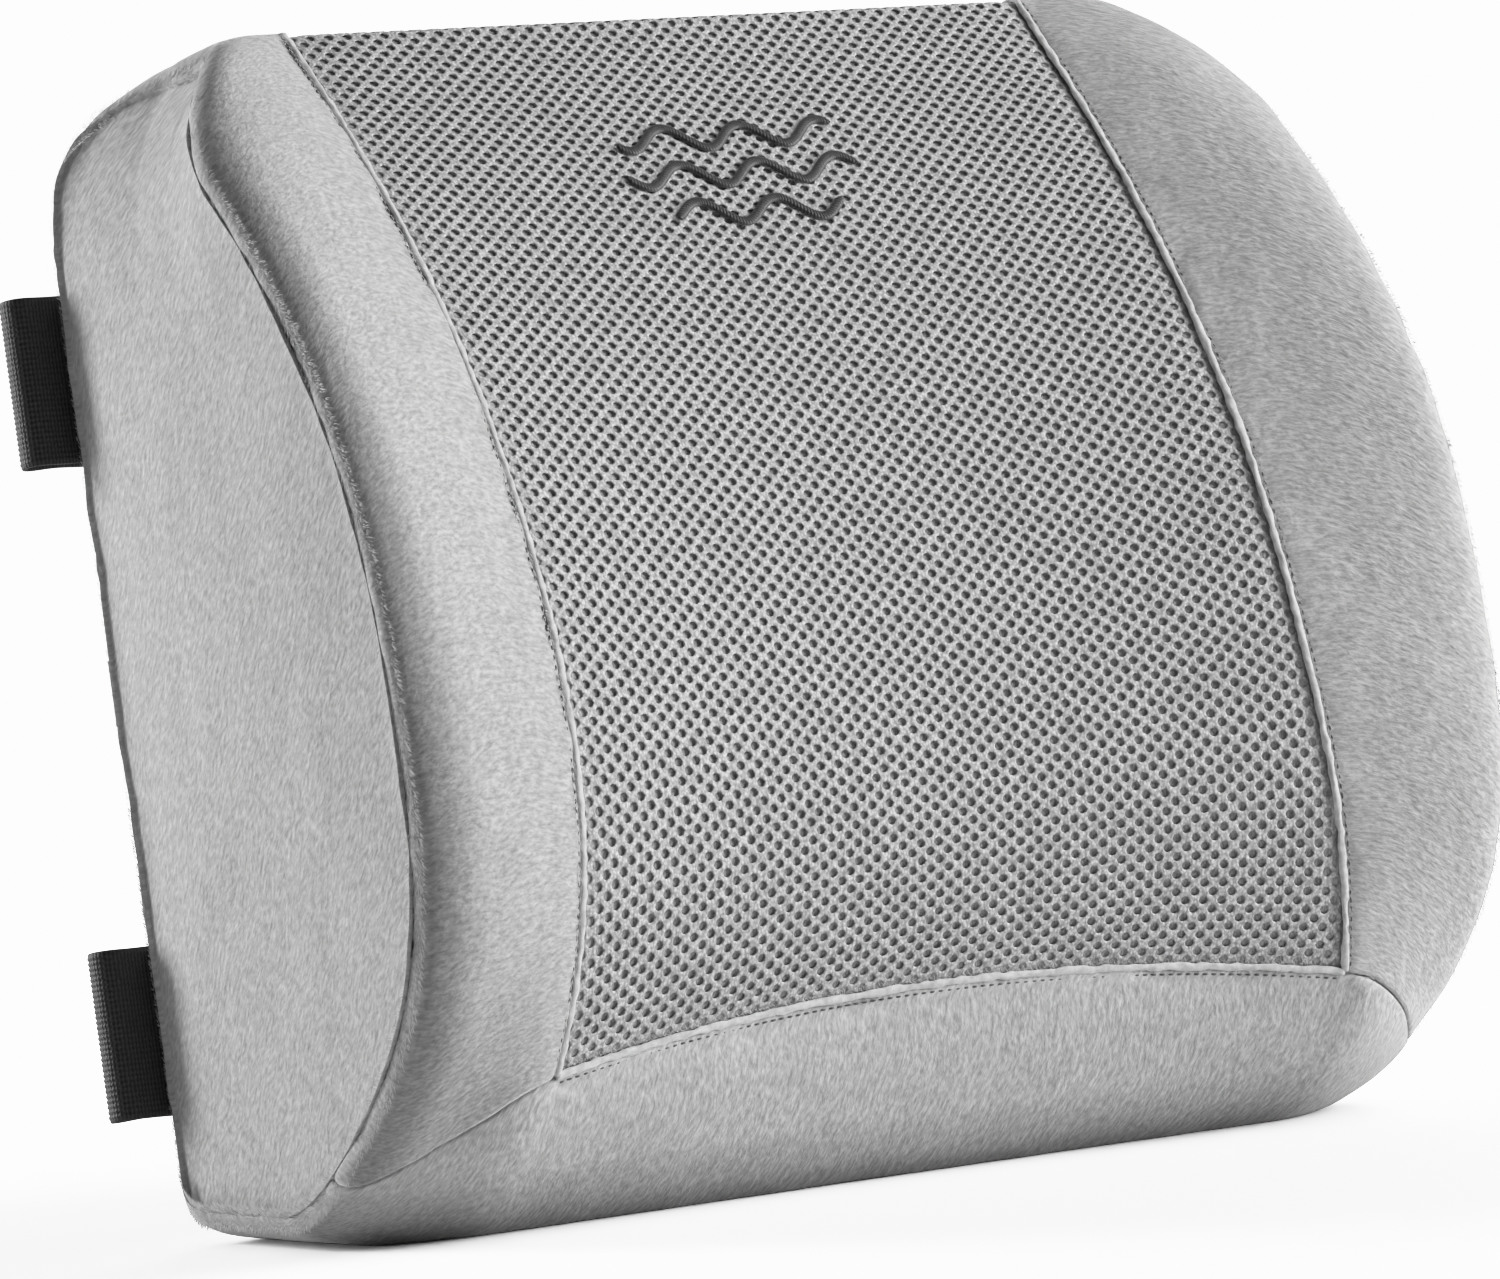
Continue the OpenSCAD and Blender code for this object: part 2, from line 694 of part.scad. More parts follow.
foam_core();
inner_liner_body();
inner_liner_end_left();
inner_liner_end_right();
mesh_panel();
left_wing_panel();
right_wing_panel();
left_side_panel();
right_side_panel();
bottom_panel();
back_upper_panel();
back_lower_panel();
left_mesh_welt();
right_mesh_welt();
bottom_mesh_welt();
embroidered_motif();
care_label();
zip_tape_upper();
zip_tape_lower();
zip_coil_upper();
zip_coil_lower();
zip_end_stops();
zip_slider();
zip_pull();
lower_strap_left_webbing();
lower_strap_right_anchor();
lower_strap_right_span();
lower_strap_bar_tacks();
lower_strap_adjuster();
lower_buckle_socket();
lower_buckle_plug();
lower_buckle_prongs();
upper_strap_left_webbing();
upper_strap_right_anchor();
upper_strap_right_span();
upper_strap_bar_tacks();
upper_strap_adjuster();
upper_buckle_socket();
upper_buckle_plug();
upper_buckle_prongs();
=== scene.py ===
import math
import bpy
import numpy as np
from mathutils import Matrix, Vector


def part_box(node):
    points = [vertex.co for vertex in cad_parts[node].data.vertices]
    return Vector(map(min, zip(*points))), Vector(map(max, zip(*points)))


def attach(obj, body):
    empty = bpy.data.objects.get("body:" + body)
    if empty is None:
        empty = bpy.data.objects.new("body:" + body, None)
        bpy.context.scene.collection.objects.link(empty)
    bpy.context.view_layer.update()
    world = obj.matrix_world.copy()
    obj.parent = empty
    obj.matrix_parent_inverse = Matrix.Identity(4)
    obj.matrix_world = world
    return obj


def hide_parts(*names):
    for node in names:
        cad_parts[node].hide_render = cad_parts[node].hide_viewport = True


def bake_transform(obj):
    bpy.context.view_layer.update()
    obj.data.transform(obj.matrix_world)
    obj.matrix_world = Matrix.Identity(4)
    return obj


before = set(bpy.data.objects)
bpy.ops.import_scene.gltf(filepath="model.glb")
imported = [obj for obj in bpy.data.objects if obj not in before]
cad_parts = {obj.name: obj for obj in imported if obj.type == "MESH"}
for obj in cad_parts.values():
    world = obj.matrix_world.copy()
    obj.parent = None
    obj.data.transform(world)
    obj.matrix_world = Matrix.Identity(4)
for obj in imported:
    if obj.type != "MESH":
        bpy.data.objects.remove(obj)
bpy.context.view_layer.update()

# ---------------------------------------------------------------- outline, in millimetres
# The cushion is drawn upright as [x, d, z], x across, d forward of its flat back and z up, then leans back.
LEAN = math.radians(6)
HALF_W, CROWN, HEIGHT, SIDE_TOP = 165, 3, 310, 300
FOOT_PIVOT, BACK_TOP, SIDE_BACK_TOP, BACK_LOW = 40, 268, 277, 20
SADDLE = 13
RISE = np.array([16, 3, 3, 4, 12, 3, 5, 5])
STARTS = np.concatenate([[0], np.cumsum(RISE)])
N_RING = int(STARTS[-1])
U_CORNER, _, U_BACK_CORNER, U_BACK, U_LOW, _, U_LIP = STARTS[1:8]
U_BACK_SEAM, U_HEEL_SEAM = U_BACK + 0.4, U_LOW + 0.5
N_WING, N_MID = 4, 6
N_COL = 2 * N_WING + N_MID
ZIP_Z, ZIP_WINDOW, ZIP_HALF, TAPE_HALF = 148, 8, 146, 156


def lerp(a, b, t):
    return a + (b - a) * t


def bend(a, b, c, t):
    return (1 - t) ** 2 * a + 2 * t * (1 - t) * b + t * t * c


def foot(d):
    return (FOOT_PIVOT - d) * math.tan(LEAN)


def mesh_front(z):
    return np.where(z > 93, 141 - 78 * ((z - 93) / 197) ** 2, 141 - 18 * ((93 - z) / 62) ** 2)


def side_front(z):
    above, below = np.maximum(z - 114, 0) / 148, np.maximum(114 - z, 0) / 100
    return 147 - 57.5 * above**2.34 - 66.5 * below**3


class Ring:
    """A closed outline of [d, z]: from the lip seam up the front, over, down the back and under the foot."""

    def __init__(self, front, z0, z1, top_z, top_run, corner_run, back_d, blade_z, low_run,
                 foot_rise, lip_d, lip_pull):
        def up(t):
            z = lerp(z0, z1, np.asarray(t, float))
            return np.stack([front(z), z], -1)

        head, before, toe, second = up(1), up(15 / 16), up(0), up(1 / 16)
        slope = (head - before) / (head[1] - before[1])
        peak = head + slope * (top_z - head[1])
        crest = np.array([head[0] - top_run, top_z])
        nape = np.array([back_d + corner_run, top_z - 1])
        blade, heel = np.array([back_d, blade_z]), np.array([back_d, BACK_LOW])
        low_blade, rise = np.array([back_d, BACK_TOP]), np.array([0, blade_z - BACK_TOP])
        sole_back = np.array([back_d + low_run, foot(back_d + low_run) + foot_rise])
        sole_front = np.array([lip_d, foot(lip_d) + foot_rise])
        toe_low = toe - (second - toe) / (second[1] - toe[1]) * lip_pull
        self.parts = [
            lambda t: up(t[:, 0]),
            lambda t: bend(head, np.array([min(peak[0], head[0]), top_z]), crest, t),
            lambda t: lerp(crest, nape, t),
            lambda t: bend(nape, np.array([back_d, top_z]), blade, t),
            lambda t: lerp(low_blade, heel, t) + rise * (1 - t) ** 6,
            lambda t: bend(heel, np.array([back_d, foot(back_d) + foot_rise]), sole_back, t),
            lambda t: lerp(sole_back, sole_front, t),
            lambda t: bend(sole_front, toe_low, toe, t),
        ]

    def at(self, u):
        u = np.mod(np.asarray(u, float), N_RING)
        k = np.clip(np.searchsorted(STARTS, u, side="right") - 1, 0, 7)
        t = (u - STARTS[k]) / RISE[k]
        out = np.zeros(u.shape + (2,))
        for i, part in enumerate(self.parts):
            m = k == i
            if m.any():
                out[m] = part(t[m][:, None])
        return out

    def soft(self, u):
        """The outline with its corners eased."""
        weights = ((-0.4, 0.15), (-0.2, 0.2), (0, 0.3), (0.2, 0.2), (0.4, 0.15))
        return sum(w * self.at(u + s) for s, w in weights)

    def normal(self, u):
        t = self.at(u + 1) - self.at(u - 1)
        n = np.stack([t[..., 1], -t[..., 0]], -1)
        return n / np.linalg.norm(n, axis=-1, keepdims=True)


mesh_ring = Ring(mesh_front, 31, 290, HEIGHT, 16, 22, 0, BACK_TOP, 12, 0, 80, 20)
side_ring = Ring(side_front, 14, 262, SIDE_TOP, 36, 38, 2, SIDE_BACK_TOP, 10, 9, 58, 5)


def around(u, front, top, back, under):
    return np.interp(np.mod(u, N_RING), STARTS, [front, front, top, top, back, back, under, under, front])


def dip(u):
    u = np.mod(u, N_RING)
    face = (0.65 + 0.35 * np.sin(np.pi * u / U_CORNER)) * (1 - 0.55 * (u / U_CORNER) ** 3)
    rest = around(u, 0.29, 0, 0, 0)
    lip = 0.65 * (u - U_LIP) / RISE[7]
    return SADDLE * np.where(u <= U_CORNER, face, np.where(u < U_LIP, rest, lip))


def arch(u):
    u = np.mod(u, N_RING)
    return 7 * np.where(u <= 5, 1 - u / 5, np.where(u >= U_LIP, (u - U_LIP) / RISE[7], 0))


def mesh_x(u):
    z = mesh_ring.at(u)[..., 1]
    return 112 + 10 * np.clip((150 - z) / 120, 0, 1) ** 2 + 3 * np.clip((z - 200) / 110, 0, 1) ** 2


def side_x(u):
    d, z = np.moveaxis(side_ring.at(u), -1, 0)
    return HALF_W - 22 * np.clip((z - 261) / (SIDE_TOP - 261), 0, 1) ** 2 * np.clip((d + 23) / 57, 0, 1)


def cubic(a, b, c, d, t):
    return (1 - t) ** 3 * a + 3 * t * (1 - t) ** 2 * b + 3 * t * t * (1 - t) * c + t**3 * d


def wing(u, g):
    """A point of a wing, g from 0 at the mesh seam to 1 at the side seam, on the right."""
    x0, x3 = mesh_x(u), side_x(u)
    m, s = mesh_ring.soft(u), side_ring.soft(u)
    m1 = m + mesh_ring.normal(u) * around(u, 8, 0, 0, 0)[..., None]
    s1 = s + side_ring.normal(u) * around(u, 13, 10, 2.6, 9)[..., None]
    x = cubic(x0, lerp(x0, x3, 0.42), x3, x3, g)
    p = cubic(m, m1, s1, s, g[..., None])
    return np.stack([x, p[..., 0], p[..., 1]], -1)


def middle(u, c):
    """A point of the middle of the cover, c from -1 to 1 between the mesh seams."""
    p = mesh_ring.soft(u) - mesh_ring.normal(u) * (dip(u) * (1 - c * c))[..., None]
    return np.stack([c * mesh_x(u), p[..., 0], p[..., 1] + arch(u) * (1 - c * c)], -1)


def skin(u, v):
    """A point of the cover, v from 0 at the left side seam over the mesh to N_COL at the right one."""
    u, v = np.broadcast_arrays(np.asarray(u, float), np.asarray(v, float))
    left, right = v < N_WING, v > N_WING + N_MID
    out = middle(u, np.clip(2 * (v - N_WING) / N_MID - 1, -1, 1))
    if left.any():
        out[left] = wing(u[left], 1 - v[left] / N_WING) * [-1, 1, 1]
    if right.any():
        out[right] = wing(u[right], (v[right] - N_WING - N_MID) / N_WING)
    return out


def lean(p):
    """From the upright drawing in millimetres to the frame in metres."""
    p = np.asarray(p, float)
    y = -p[..., 1] * math.cos(LEAN) + p[..., 2] * math.sin(LEAN)
    z = p[..., 1] * math.sin(LEAN) + p[..., 2] * math.cos(LEAN)
    return np.stack([p[..., 0], y + SHIFT, z - FOOT_PIVOT * math.sin(LEAN)], -1) / 1000


SHIFT = 0.0
uu, vv = np.meshgrid(np.arange(N_RING), np.arange(N_COL + 1), indexing="ij")
SHIFT = 1000 * (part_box("mesh_panel")[0].y - lean(skin(uu[:18], vv[:18]))[..., 4:11, 1].min())


# ---------------------------------------------------------------- mesh helpers
def chance(n, seed):
    """n repeatable values from 0 to 1."""
    k = np.arange(n) + seed * 1013.0
    return np.mod(np.sin(k * 12.9898) * 43758.5453, 1.0)


def cloud(p, size, seed=0):
    """Smooth value noise from -1 to 1 at points p, with features of about the given size."""
    q = np.asarray(p) / size + seed * 19.19
    i = np.floor(q)
    f = q - i
    f = f * f * (3 - 2 * f)
    out = 0
    for corner in range(8):
        o = np.array([corner & 1, corner >> 1 & 1, corner >> 2 & 1])
        h = np.mod(np.sin((i + o) @ np.array([127.1, 311.7, 74.7])) * 43758.5453, 1.0)
        out = out + h * np.prod(np.where(o, f, 1 - f), -1)
    return 2 * out - 1


def make(name, verts, faces, mat, uv=None, smooth=True):
    """A mesh object from points in metres and lists of corner indices."""
    mesh = bpy.data.meshes.new(name)
    mesh.from_pydata(np.asarray(verts).tolist(), [], [list(f) for f in faces])
    mesh.polygons.foreach_set("use_smooth", [smooth] * len(mesh.polygons))
    if uv is not None:
        layer = mesh.uv_layers.new(name="UVMap")
        index = np.zeros(len(mesh.loops), int)
        mesh.loops.foreach_get("vertex_index", index)
        layer.data.foreach_set("uv", np.asarray(uv, float)[index].ravel())
    mesh.update()
    mesh.materials.append(mat)
    obj = bpy.data.objects.new(name, mesh)
    bpy.context.scene.collection.objects.link(obj)
    return obj


def grid_faces(rows, cols, at=0, wrap=False):
    i, j = np.meshgrid(np.arange(rows - (0 if wrap else 1)), np.arange(cols - 1), indexing="ij")
    a, b = at + i * cols + j, at + ((i + 1) % rows) * cols + j
    return np.stack([a, a + 1, b + 1, b], -1).reshape(-1, 4)


def normals(p):
    n = np.cross(np.gradient(p, axis=1), np.gradient(p, axis=0))
    return n / np.maximum(np.linalg.norm(n, axis=-1, keepdims=True), 1e-12)


def lengths(p, axis):
    """Distance in metres from the first and to the last line of a grid, along the given axis."""
    step = np.linalg.norm(np.diff(p, axis=axis), axis=-1)
    zero = np.zeros_like(np.take(step, [0], axis))
    gone = np.concatenate([zero, np.cumsum(step, axis)], axis)
    return gone, np.take(gone, [-1], axis) - gone


def spaced(a, b, step, fine):
    """Values from a to b about a step apart, closer together near both ends."""
    n = max(int(abs(b - a) / step), 8)
    t = np.linspace(0, 1, n + 1)
    return a + (b - a) * lerp(t, 0.5 - 0.5 * np.cos(np.pi * t), fine)


# ---------------------------------------------------------------- materials
class Paint:
    """A material under construction: add() makes a node and wires it."""

    def __init__(self, name, slot):
        self.mat = bpy.data.materials.new(name)
        self.mat.use_nodes = True
        self.slot = slot
        self.tree = self.mat.node_tree
        self.bsdf = next(n for n in self.tree.nodes if n.type == "BSDF_PRINCIPLED")
        self.at = self.add("ShaderNodeTexCoord").outputs

    def add(self, kind, inputs=(), **props):
        node = self.tree.nodes.new(kind)
        for key, value in props.items():
            setattr(node, key, value)
        for key, value in dict(inputs).items():
            self.put(node.inputs[key], value)
        return node

    def put(self, socket, value):
        if isinstance(value, bpy.types.NodeSocket):
            self.tree.links.new(value, socket)
        else:
            socket.default_value = value

    def set(self, **inputs):
        for key, value in inputs.items():
            self.put(self.bsdf.inputs[key.replace("_", " ")], value)
        return self

    def mapped(self, scale=(1, 1, 1), turn=(0, 0, 0), source="Object"):
        inputs = {"Vector": self.at[source], "Scale": scale, "Rotation": turn}
        return self.add("ShaderNodeMapping", inputs).outputs[0]

    def noise(self, vector, scale, detail=2.0, rough=0.5):
        inputs = {"Vector": vector, "Scale": scale, "Detail": detail, "Roughness": rough}
        return self.add("ShaderNodeTexNoise", inputs).outputs["Fac"]

    def ramp(self, fac, *stops):
        node = self.add("ShaderNodeValToRGB", {"Fac": fac})
        elements = node.color_ramp.elements
        while len(elements) < len(stops):
            elements.new(0.5)
        for e, (place, colour) in zip(elements, stops):
            e.position = place
            e.color = (*colour, 1) if hasattr(colour, "__len__") else (colour, colour, colour, 1)
        return node.outputs["Color"]

    def math(self, how, a, b=0.0):
        return self.add("ShaderNodeMath", {0: a, 1: b}, operation=how).outputs[0]

    def times(self, a, b, fac=1.0):
        inputs = {"Fac": fac, "Color1": a, "Color2": b}
        return self.add("ShaderNodeMixRGB", inputs, blend_type="MULTIPLY").outputs[0]

    def bump(self, height, strength, distance, below=None):
        inputs = {"Height": height, "Strength": strength, "Distance": distance}
        if below is not None:
            inputs["Normal"] = below
        return self.add("ShaderNodeBump", inputs).outputs[0]


def plush(name, comb, light=0.6, painted_seam_shade=0.0, sheen=0.45):
    """Short-pile velour, combed at an angle in degrees, with a painted shade band near a side seam and
    painted contact shade towards the floor.
    """
    p = Paint(name, "grey_plush")
    swirl = p.add("ShaderNodeTexNoise", {"Vector": p.at["UV"], "Scale": 42.0, "Detail": 2.0}).outputs["Color"]
    drift = p.add("ShaderNodeMixRGB", {"Fac": 0.0045, "Color1": p.at["UV"], "Color2": swirl}).outputs[0]
    turned = p.add("ShaderNodeMapping", {"Vector": drift, "Rotation": (0, 0, -math.radians(comb))}).outputs[0]
    long = p.add("ShaderNodeMapping", {"Vector": turned, "Scale": (400, 1000, 1)}).outputs[0]
    wide = p.add("ShaderNodeMapping", {"Vector": turned, "Scale": (200, 400, 1)}).outputs[0]
    fleck, nap = p.noise(long, 1.0, 3.0, 0.6), p.noise(wide, 1.0, 2.0, 0.55)
    patch = p.noise(p.at["Object"], 62, 3.0, 0.6)
    flecks = p.ramp(fleck, (0.34, light * 0.72), (0.64, light * 1.12))
    colour = p.times(flecks, p.ramp(patch, (0.3, 0.92), (0.7, 1.0)))
    colour = p.times(colour, p.ramp(nap, (0.34, 0.84), (0.64, 1.0)))
    # painted contact shade: the cloth darkens towards the floor, to 0.4 of its colour within 1 mm of it, 0.72
    # at 7 mm and none from 18 mm
    low = p.add("ShaderNodeSeparateXYZ", {"Vector": p.at["Object"]}).outputs["Z"]
    colour = p.times(colour, p.ramp(p.math("MULTIPLY", low, 50.0), (0.05, 0.4), (0.35, 0.72), (0.9, 1.0)))
    # painted shade: a darker band that starts some 2 mm from the side seam, is darkest from 7 to 14 mm and is
    # gone by 26 mm
    if painted_seam_shade:
        from_seam = p.math("ABSOLUTE", p.add("ShaderNodeSeparateXYZ", {"Vector": p.at["UV"]}).outputs["X"])
        stops = (0.08, 1.0), (0.24, painted_seam_shade), (0.46, painted_seam_shade), (0.85, 1.0)
        colour = p.times(colour, p.ramp(p.math("MULTIPLY", from_seam, 33.0), *stops))
    normal = p.bump(patch, 0.3, 0.0012)
    normal = p.bump(nap, 0.5, 0.0007, normal)
    normal = p.bump(fleck, 0.7, 0.00035, normal)
    p.set(Base_Color=colour, Roughness=0.95, Normal=normal, Sheen_Weight=sheen, Sheen_Roughness=0.35)
    p.bsdf.inputs["Specular IOR Level"].default_value = 0.1
    return p


def pile():
    """Loose tips of the pile along the seams, in a grey lighter than the cover: painted sheen for pile that
    stands up and catches the light.
    """
    p = Paint("plush_tips_painted_sheen", "grey_plush")
    patch = p.noise(p.at["Object"], 420, 2.0, 0.6)
    # painted sheen: the tips' grey runs from 0.5 to 0.74, lighter than the cover's cloth
    tips = p.ramp(patch, (0.3, 0.5), (0.7, 0.74))
    p.set(Base_Color=tips, Roughness=0.95, Sheen_Weight=0.8, Sheen_Roughness=0.5)
    p.bsdf.inputs["Specular IOR Level"].default_value = 0.1
    return p


def cloth(name, slot, dark, pale, pitch, rough=0.85, depth=0.0002, sheen=0.2):
    """A plain weave: two crossed sets of fine threads with slight unevenness."""
    p = Paint(name, slot)
    threads = {"Vector": p.at["Object"], "Scale": 0.314 / pitch, "Distortion": 0.4}
    warp = p.add("ShaderNodeTexWave", threads, bands_direction="X")
    weft = p.add("ShaderNodeTexWave", threads, bands_direction="Z")
    weave = p.math("MULTIPLY", warp.outputs["Fac"], weft.outputs["Fac"])
    patch = p.noise(p.at["Object"], 180, 3.0)
    colour = p.times(p.ramp(weave, (0.0, dark), (0.6, pale)), p.ramp(patch, (0.3, 0.85), (0.7, 1.0)))
    p.set(Base_Color=colour, Roughness=rough, Normal=p.bump(weave, 0.6, depth), Sheen_Weight=sheen)
    return p


def spacer_yarn():
    """Light grey knit yarn: tiny loops in two directions with bright and dark threads."""
    p = Paint("spacer_yarn", "spacer_mesh")
    knit = {"Vector": p.mapped((1, 1, 0.8)), "Scale": 1250.0, "Randomness": 0.9}
    loops = p.add("ShaderNodeTexVoronoi", knit)
    strand = p.noise(p.mapped((1, 1, 0.5), (0, 0.5, 0)), 1300, 2.0, 0.6)
    patch = p.noise(p.at["Object"], 40, 2.0)
    threads = p.ramp(strand, (0.3, 0.46), (0.66, 0.88))
    colour = p.times(threads, p.ramp(loops.outputs["Distance"], (0.1, 1.0), (0.75, 0.5)))
    colour = p.times(colour, p.ramp(patch, (0.3, 0.94), (0.7, 1.0)))
    normal = p.bump(loops.outputs["Distance"], -0.8, 0.0004)
    normal = p.bump(strand, 0.5, 0.0002, normal)
    p.set(Base_Color=colour, Roughness=0.6, Normal=normal, Sheen_Weight=0.25, Sheen_Roughness=0.4)
    return p


def spacer_back():
    """The darker inner layer of the spacer fabric, with upright filaments."""
    p = Paint("spacer_back", "spacer_mesh")
    hairs = p.noise(p.mapped((1, 1, 0.45), (0, 0.4, 0)), 1500, 3.0, 0.65)
    colour = p.ramp(hairs, (0.3, 0.18), (0.7, 0.55))
    p.set(Base_Color=colour, Roughness=0.75, Normal=p.bump(hairs, 0.6, 0.0004))
    return p


def elastic():
    """Black knitted elastic: fine zigzag threads over the ribs."""
    p = Paint("elastic_webbing", "elastic_webbing")
    knit = {"Vector": p.at["UV"], "Scale": 330.0, "Distortion": 2.2, "Detail": 1.0, "Detail Scale": 3.0}
    zig = p.add("ShaderNodeTexWave", knit, bands_direction="X")
    fluff = p.noise(p.at["UV"], 1600, 3.0, 0.7)
    threads = p.ramp(zig.outputs["Fac"], (0.1, 0.01), (0.9, 0.05))
    colour = p.times(threads, p.ramp(fluff, (0.3, 0.55), (0.75, 1.0)))
    normal = p.bump(fluff, 0.4, 0.0002, p.bump(zig.outputs["Fac"], 0.5, 0.0002))
    p.set(Base_Color=colour, Roughness=0.62, Normal=normal, Sheen_Weight=0.12, Sheen_Roughness=0.4)
    return p


def plastic():
    """Moulded black plastic with a fine spark-eroded grain and faint handling wear."""
    p = Paint("buckle_plastic", "buckle_plastic")
    grain = p.noise(p.at["Object"], 2600, 2.0, 0.6)
    wear = p.noise(p.at["Object"], 90, 4.0, 0.65)
    colour = p.ramp(wear, (0.35, (0.011, 0.011, 0.012)), (0.75, (0.022, 0.022, 0.023)))
    rough = p.ramp(wear, (0.3, 0.34), (0.7, 0.5))
    p.set(Base_Color=colour, Roughness=rough, Normal=p.bump(grain, 0.25, 0.00008))
    return p


def metal():
    """Brushed nickel-plated zinc."""
    p = Paint("zip_metal", "zip_metal")
    brush = p.noise(p.mapped((0.08, 1, 1)), 2400, 2.0, 0.6)
    wear = p.noise(p.at["Object"], 260, 3.0)
    p.set(Base_Color=p.ramp(wear, (0.3, (0.42, 0.42, 0.43)), (0.7, (0.6, 0.6, 0.61))), Metallic=1.0,
          Roughness=p.ramp(brush, (0.3, 0.24), (0.7, 0.42)), Normal=p.bump(brush, 0.2, 0.00005))
    return p


def thread(name, slot, dark, pale, rough=0.45):
    """Twisted sewing thread with a slight gloss."""
    p = Paint(name, slot)
    ply = p.noise(p.at["Object"], 2200, 2.0, 0.6)
    p.set(Base_Color=p.ramp(ply, (0.3, dark), (0.7, pale)), Roughness=rough, Normal=p.bump(ply, 0.5, 0.0001),
          Sheen_Weight=0.2)
    return p


def foam():
    """Open-cell memory foam."""
    p = Paint("memory_foam", "memory_foam")
    cells = p.add("ShaderNodeTexVoronoi", {"Vector": p.at["Object"], "Scale": 900.0})
    patch = p.noise(p.at["Object"], 45, 3.0)
    p.set(Base_Color=p.ramp(patch, (0.3, (0.74, 0.68, 0.5)), (0.7, (0.82, 0.77, 0.6))), Roughness=0.95,
          Normal=p.bump(cells.outputs["Distance"], 0.5, 0.0004))
    return p


PLUSH = plush("plush_edges", 20)
# painted shade: both wings carry the darker band near their side seams, down to 0.62 of the colour on the
# left wing and 0.92 on the right
LEFT_NAP = plush("plush_left_wing", -18, painted_seam_shade=0.62, sheen=0.8)
# painted light: the right wing is the same fabric painted lighter, 0.66 against 0.6
RIGHT_NAP = plush("plush_right_wing", 2, light=0.66, painted_seam_shade=0.92, sheen=0.9)
# painted light: FOOT_NAP, on the bottom, the back panels and the zip end tabs, is the same fabric painted a
# little lighter, 0.65 against 0.6
SIDE_NAP, FOOT_NAP = plush("plush_side", 48), plush("plush_bottom", 62, light=0.65)
PILE, YARN, BACKING = pile(), spacer_yarn(), spacer_back()
ELASTIC, PLASTIC, METAL, FOAM = elastic(), plastic(), metal(), foam()
LINER = cloth("liner_fabric", "liner_fabric", 0.62, 0.8, 0.0006)
TAPE = cloth("zip_tape", "zip_tape", 0.2, 0.36, 0.0007)
LABEL = cloth("label_satin", "label_satin", 0.5, 0.64, 0.0003, rough=0.4, depth=0.00005)
COIL = thread("zip_coil", "zip_coil", 0.2, 0.33, 0.35)
CHARCOAL = thread("dark_thread", "dark_thread", 0.012, 0.045, 0.4)
SEWING = thread("grey_thread", "grey_plush", 0.3, 0.5, 0.5)
NEEDLE = thread("needle_line", "grey_plush", 0.05, 0.16, 0.6)


def place(obj, paint, body="cushion", stands_for=(), fill=None):
    if body:
        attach(obj, body)
    if stands_for:
        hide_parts(*stands_for)
    return obj


# ---------------------------------------------------------------- plush panels
SEAM_DEPTH, SEAM_WIDTH, PROUD = 0.0003, 0.0009, 0.0005


def relief(p, sides, pucker=1.0, ridge=0.0):
    """Height in metres over a panel: seams that pull in, puckers along them and a hand-sewn unevenness."""
    h = 0.00022 * cloud(p, 0.011, 1) + 0.0004 * cloud(p, 0.034, 2)
    gone = lengths(p, 0) + lengths(p, 1)
    for side, dist in zip(("start", "end", "left", "right"), gone):
        if side in sides:
            h = h - SEAM_DEPTH * np.exp(-dist / SEAM_WIDTH)
            h = h + pucker * 0.00055 * cloud(p, 0.0075, 3) * np.exp(-dist / 0.006)
            h = h + ridge * np.exp(-(((dist - 0.0035) / 0.0022) ** 2))
    return h


def shell(name, p, h, paint, tuck=0.0012, from_end=False):
    """A panel from a grid of points in metres, raised by h, with its edges turned in."""
    n = normals(p)
    p = p + n * h[..., None]
    p = np.concatenate([p[:1] - n[:1] * tuck, p, p[-1:] - n[-1:] * tuck])
    n = np.concatenate([n[:1], n, n[-1:]])
    p = np.concatenate([p[:, :1] - n[:, :1] * tuck, p, p[:, -1:] - n[:, -1:] * tuck], 1)
    p[..., 2] = np.maximum(p[..., 2], 0.0001)  # nothing reaches into the floor that it stands on
    rows, cols = p.shape[:2]
    across = -lengths(p, 1)[1] if from_end else lengths(p, 1)[0]
    along = np.broadcast_to(lengths(p, 0)[0].mean(1, keepdims=True), (rows, cols))
    uv = np.stack([across, along], -1).reshape(-1, 2)
    return make(name, p.reshape(-1, 3), grid_faces(rows, cols), paint.mat, uv)


def panel(name, u, v, nodes, sides, fill, paint, ridge=0.0, step_u=0.09, step_v=0.05):
    us, vs = spaced(u[0], u[1], step_u, 0.12), spaced(v[0], v[1], step_v, 0.25)
    p = lean(skin(us[:, None], vs[None, :]))
    right_wing = v[1] > N_COL - 1 and v[0] > 1
    obj = shell(name, p, relief(p, sides, ridge=ridge) + PROUD, paint, from_end=right_wing)
    return place(obj, paint, stands_for=nodes, fill=fill)


GAP = 0.005
ALL = ("start", "end", "left", "right")
FULL_WIDTH = GAP, N_COL - GAP
wing_u = 0.03, U_BACK_SEAM - 0.03
panel("left_wing", wing_u, (GAP, N_WING - GAP), ["left_wing_panel"], ALL, 0.9, LEFT_NAP)
panel("right_wing", wing_u, (N_WING + N_MID + GAP, N_COL - GAP), ["right_wing_panel"], ALL, 0.9, RIGHT_NAP)
panel("bottom", (U_HEEL_SEAM + 0.03, N_RING - 0.03), FULL_WIDTH, ["bottom_panel"], ALL, 0.8, FOOT_NAP,
      step_v=0.07)


def u_back(z):
    return U_BACK + RISE[4] * (BACK_TOP - z) / (BACK_TOP - BACK_LOW)


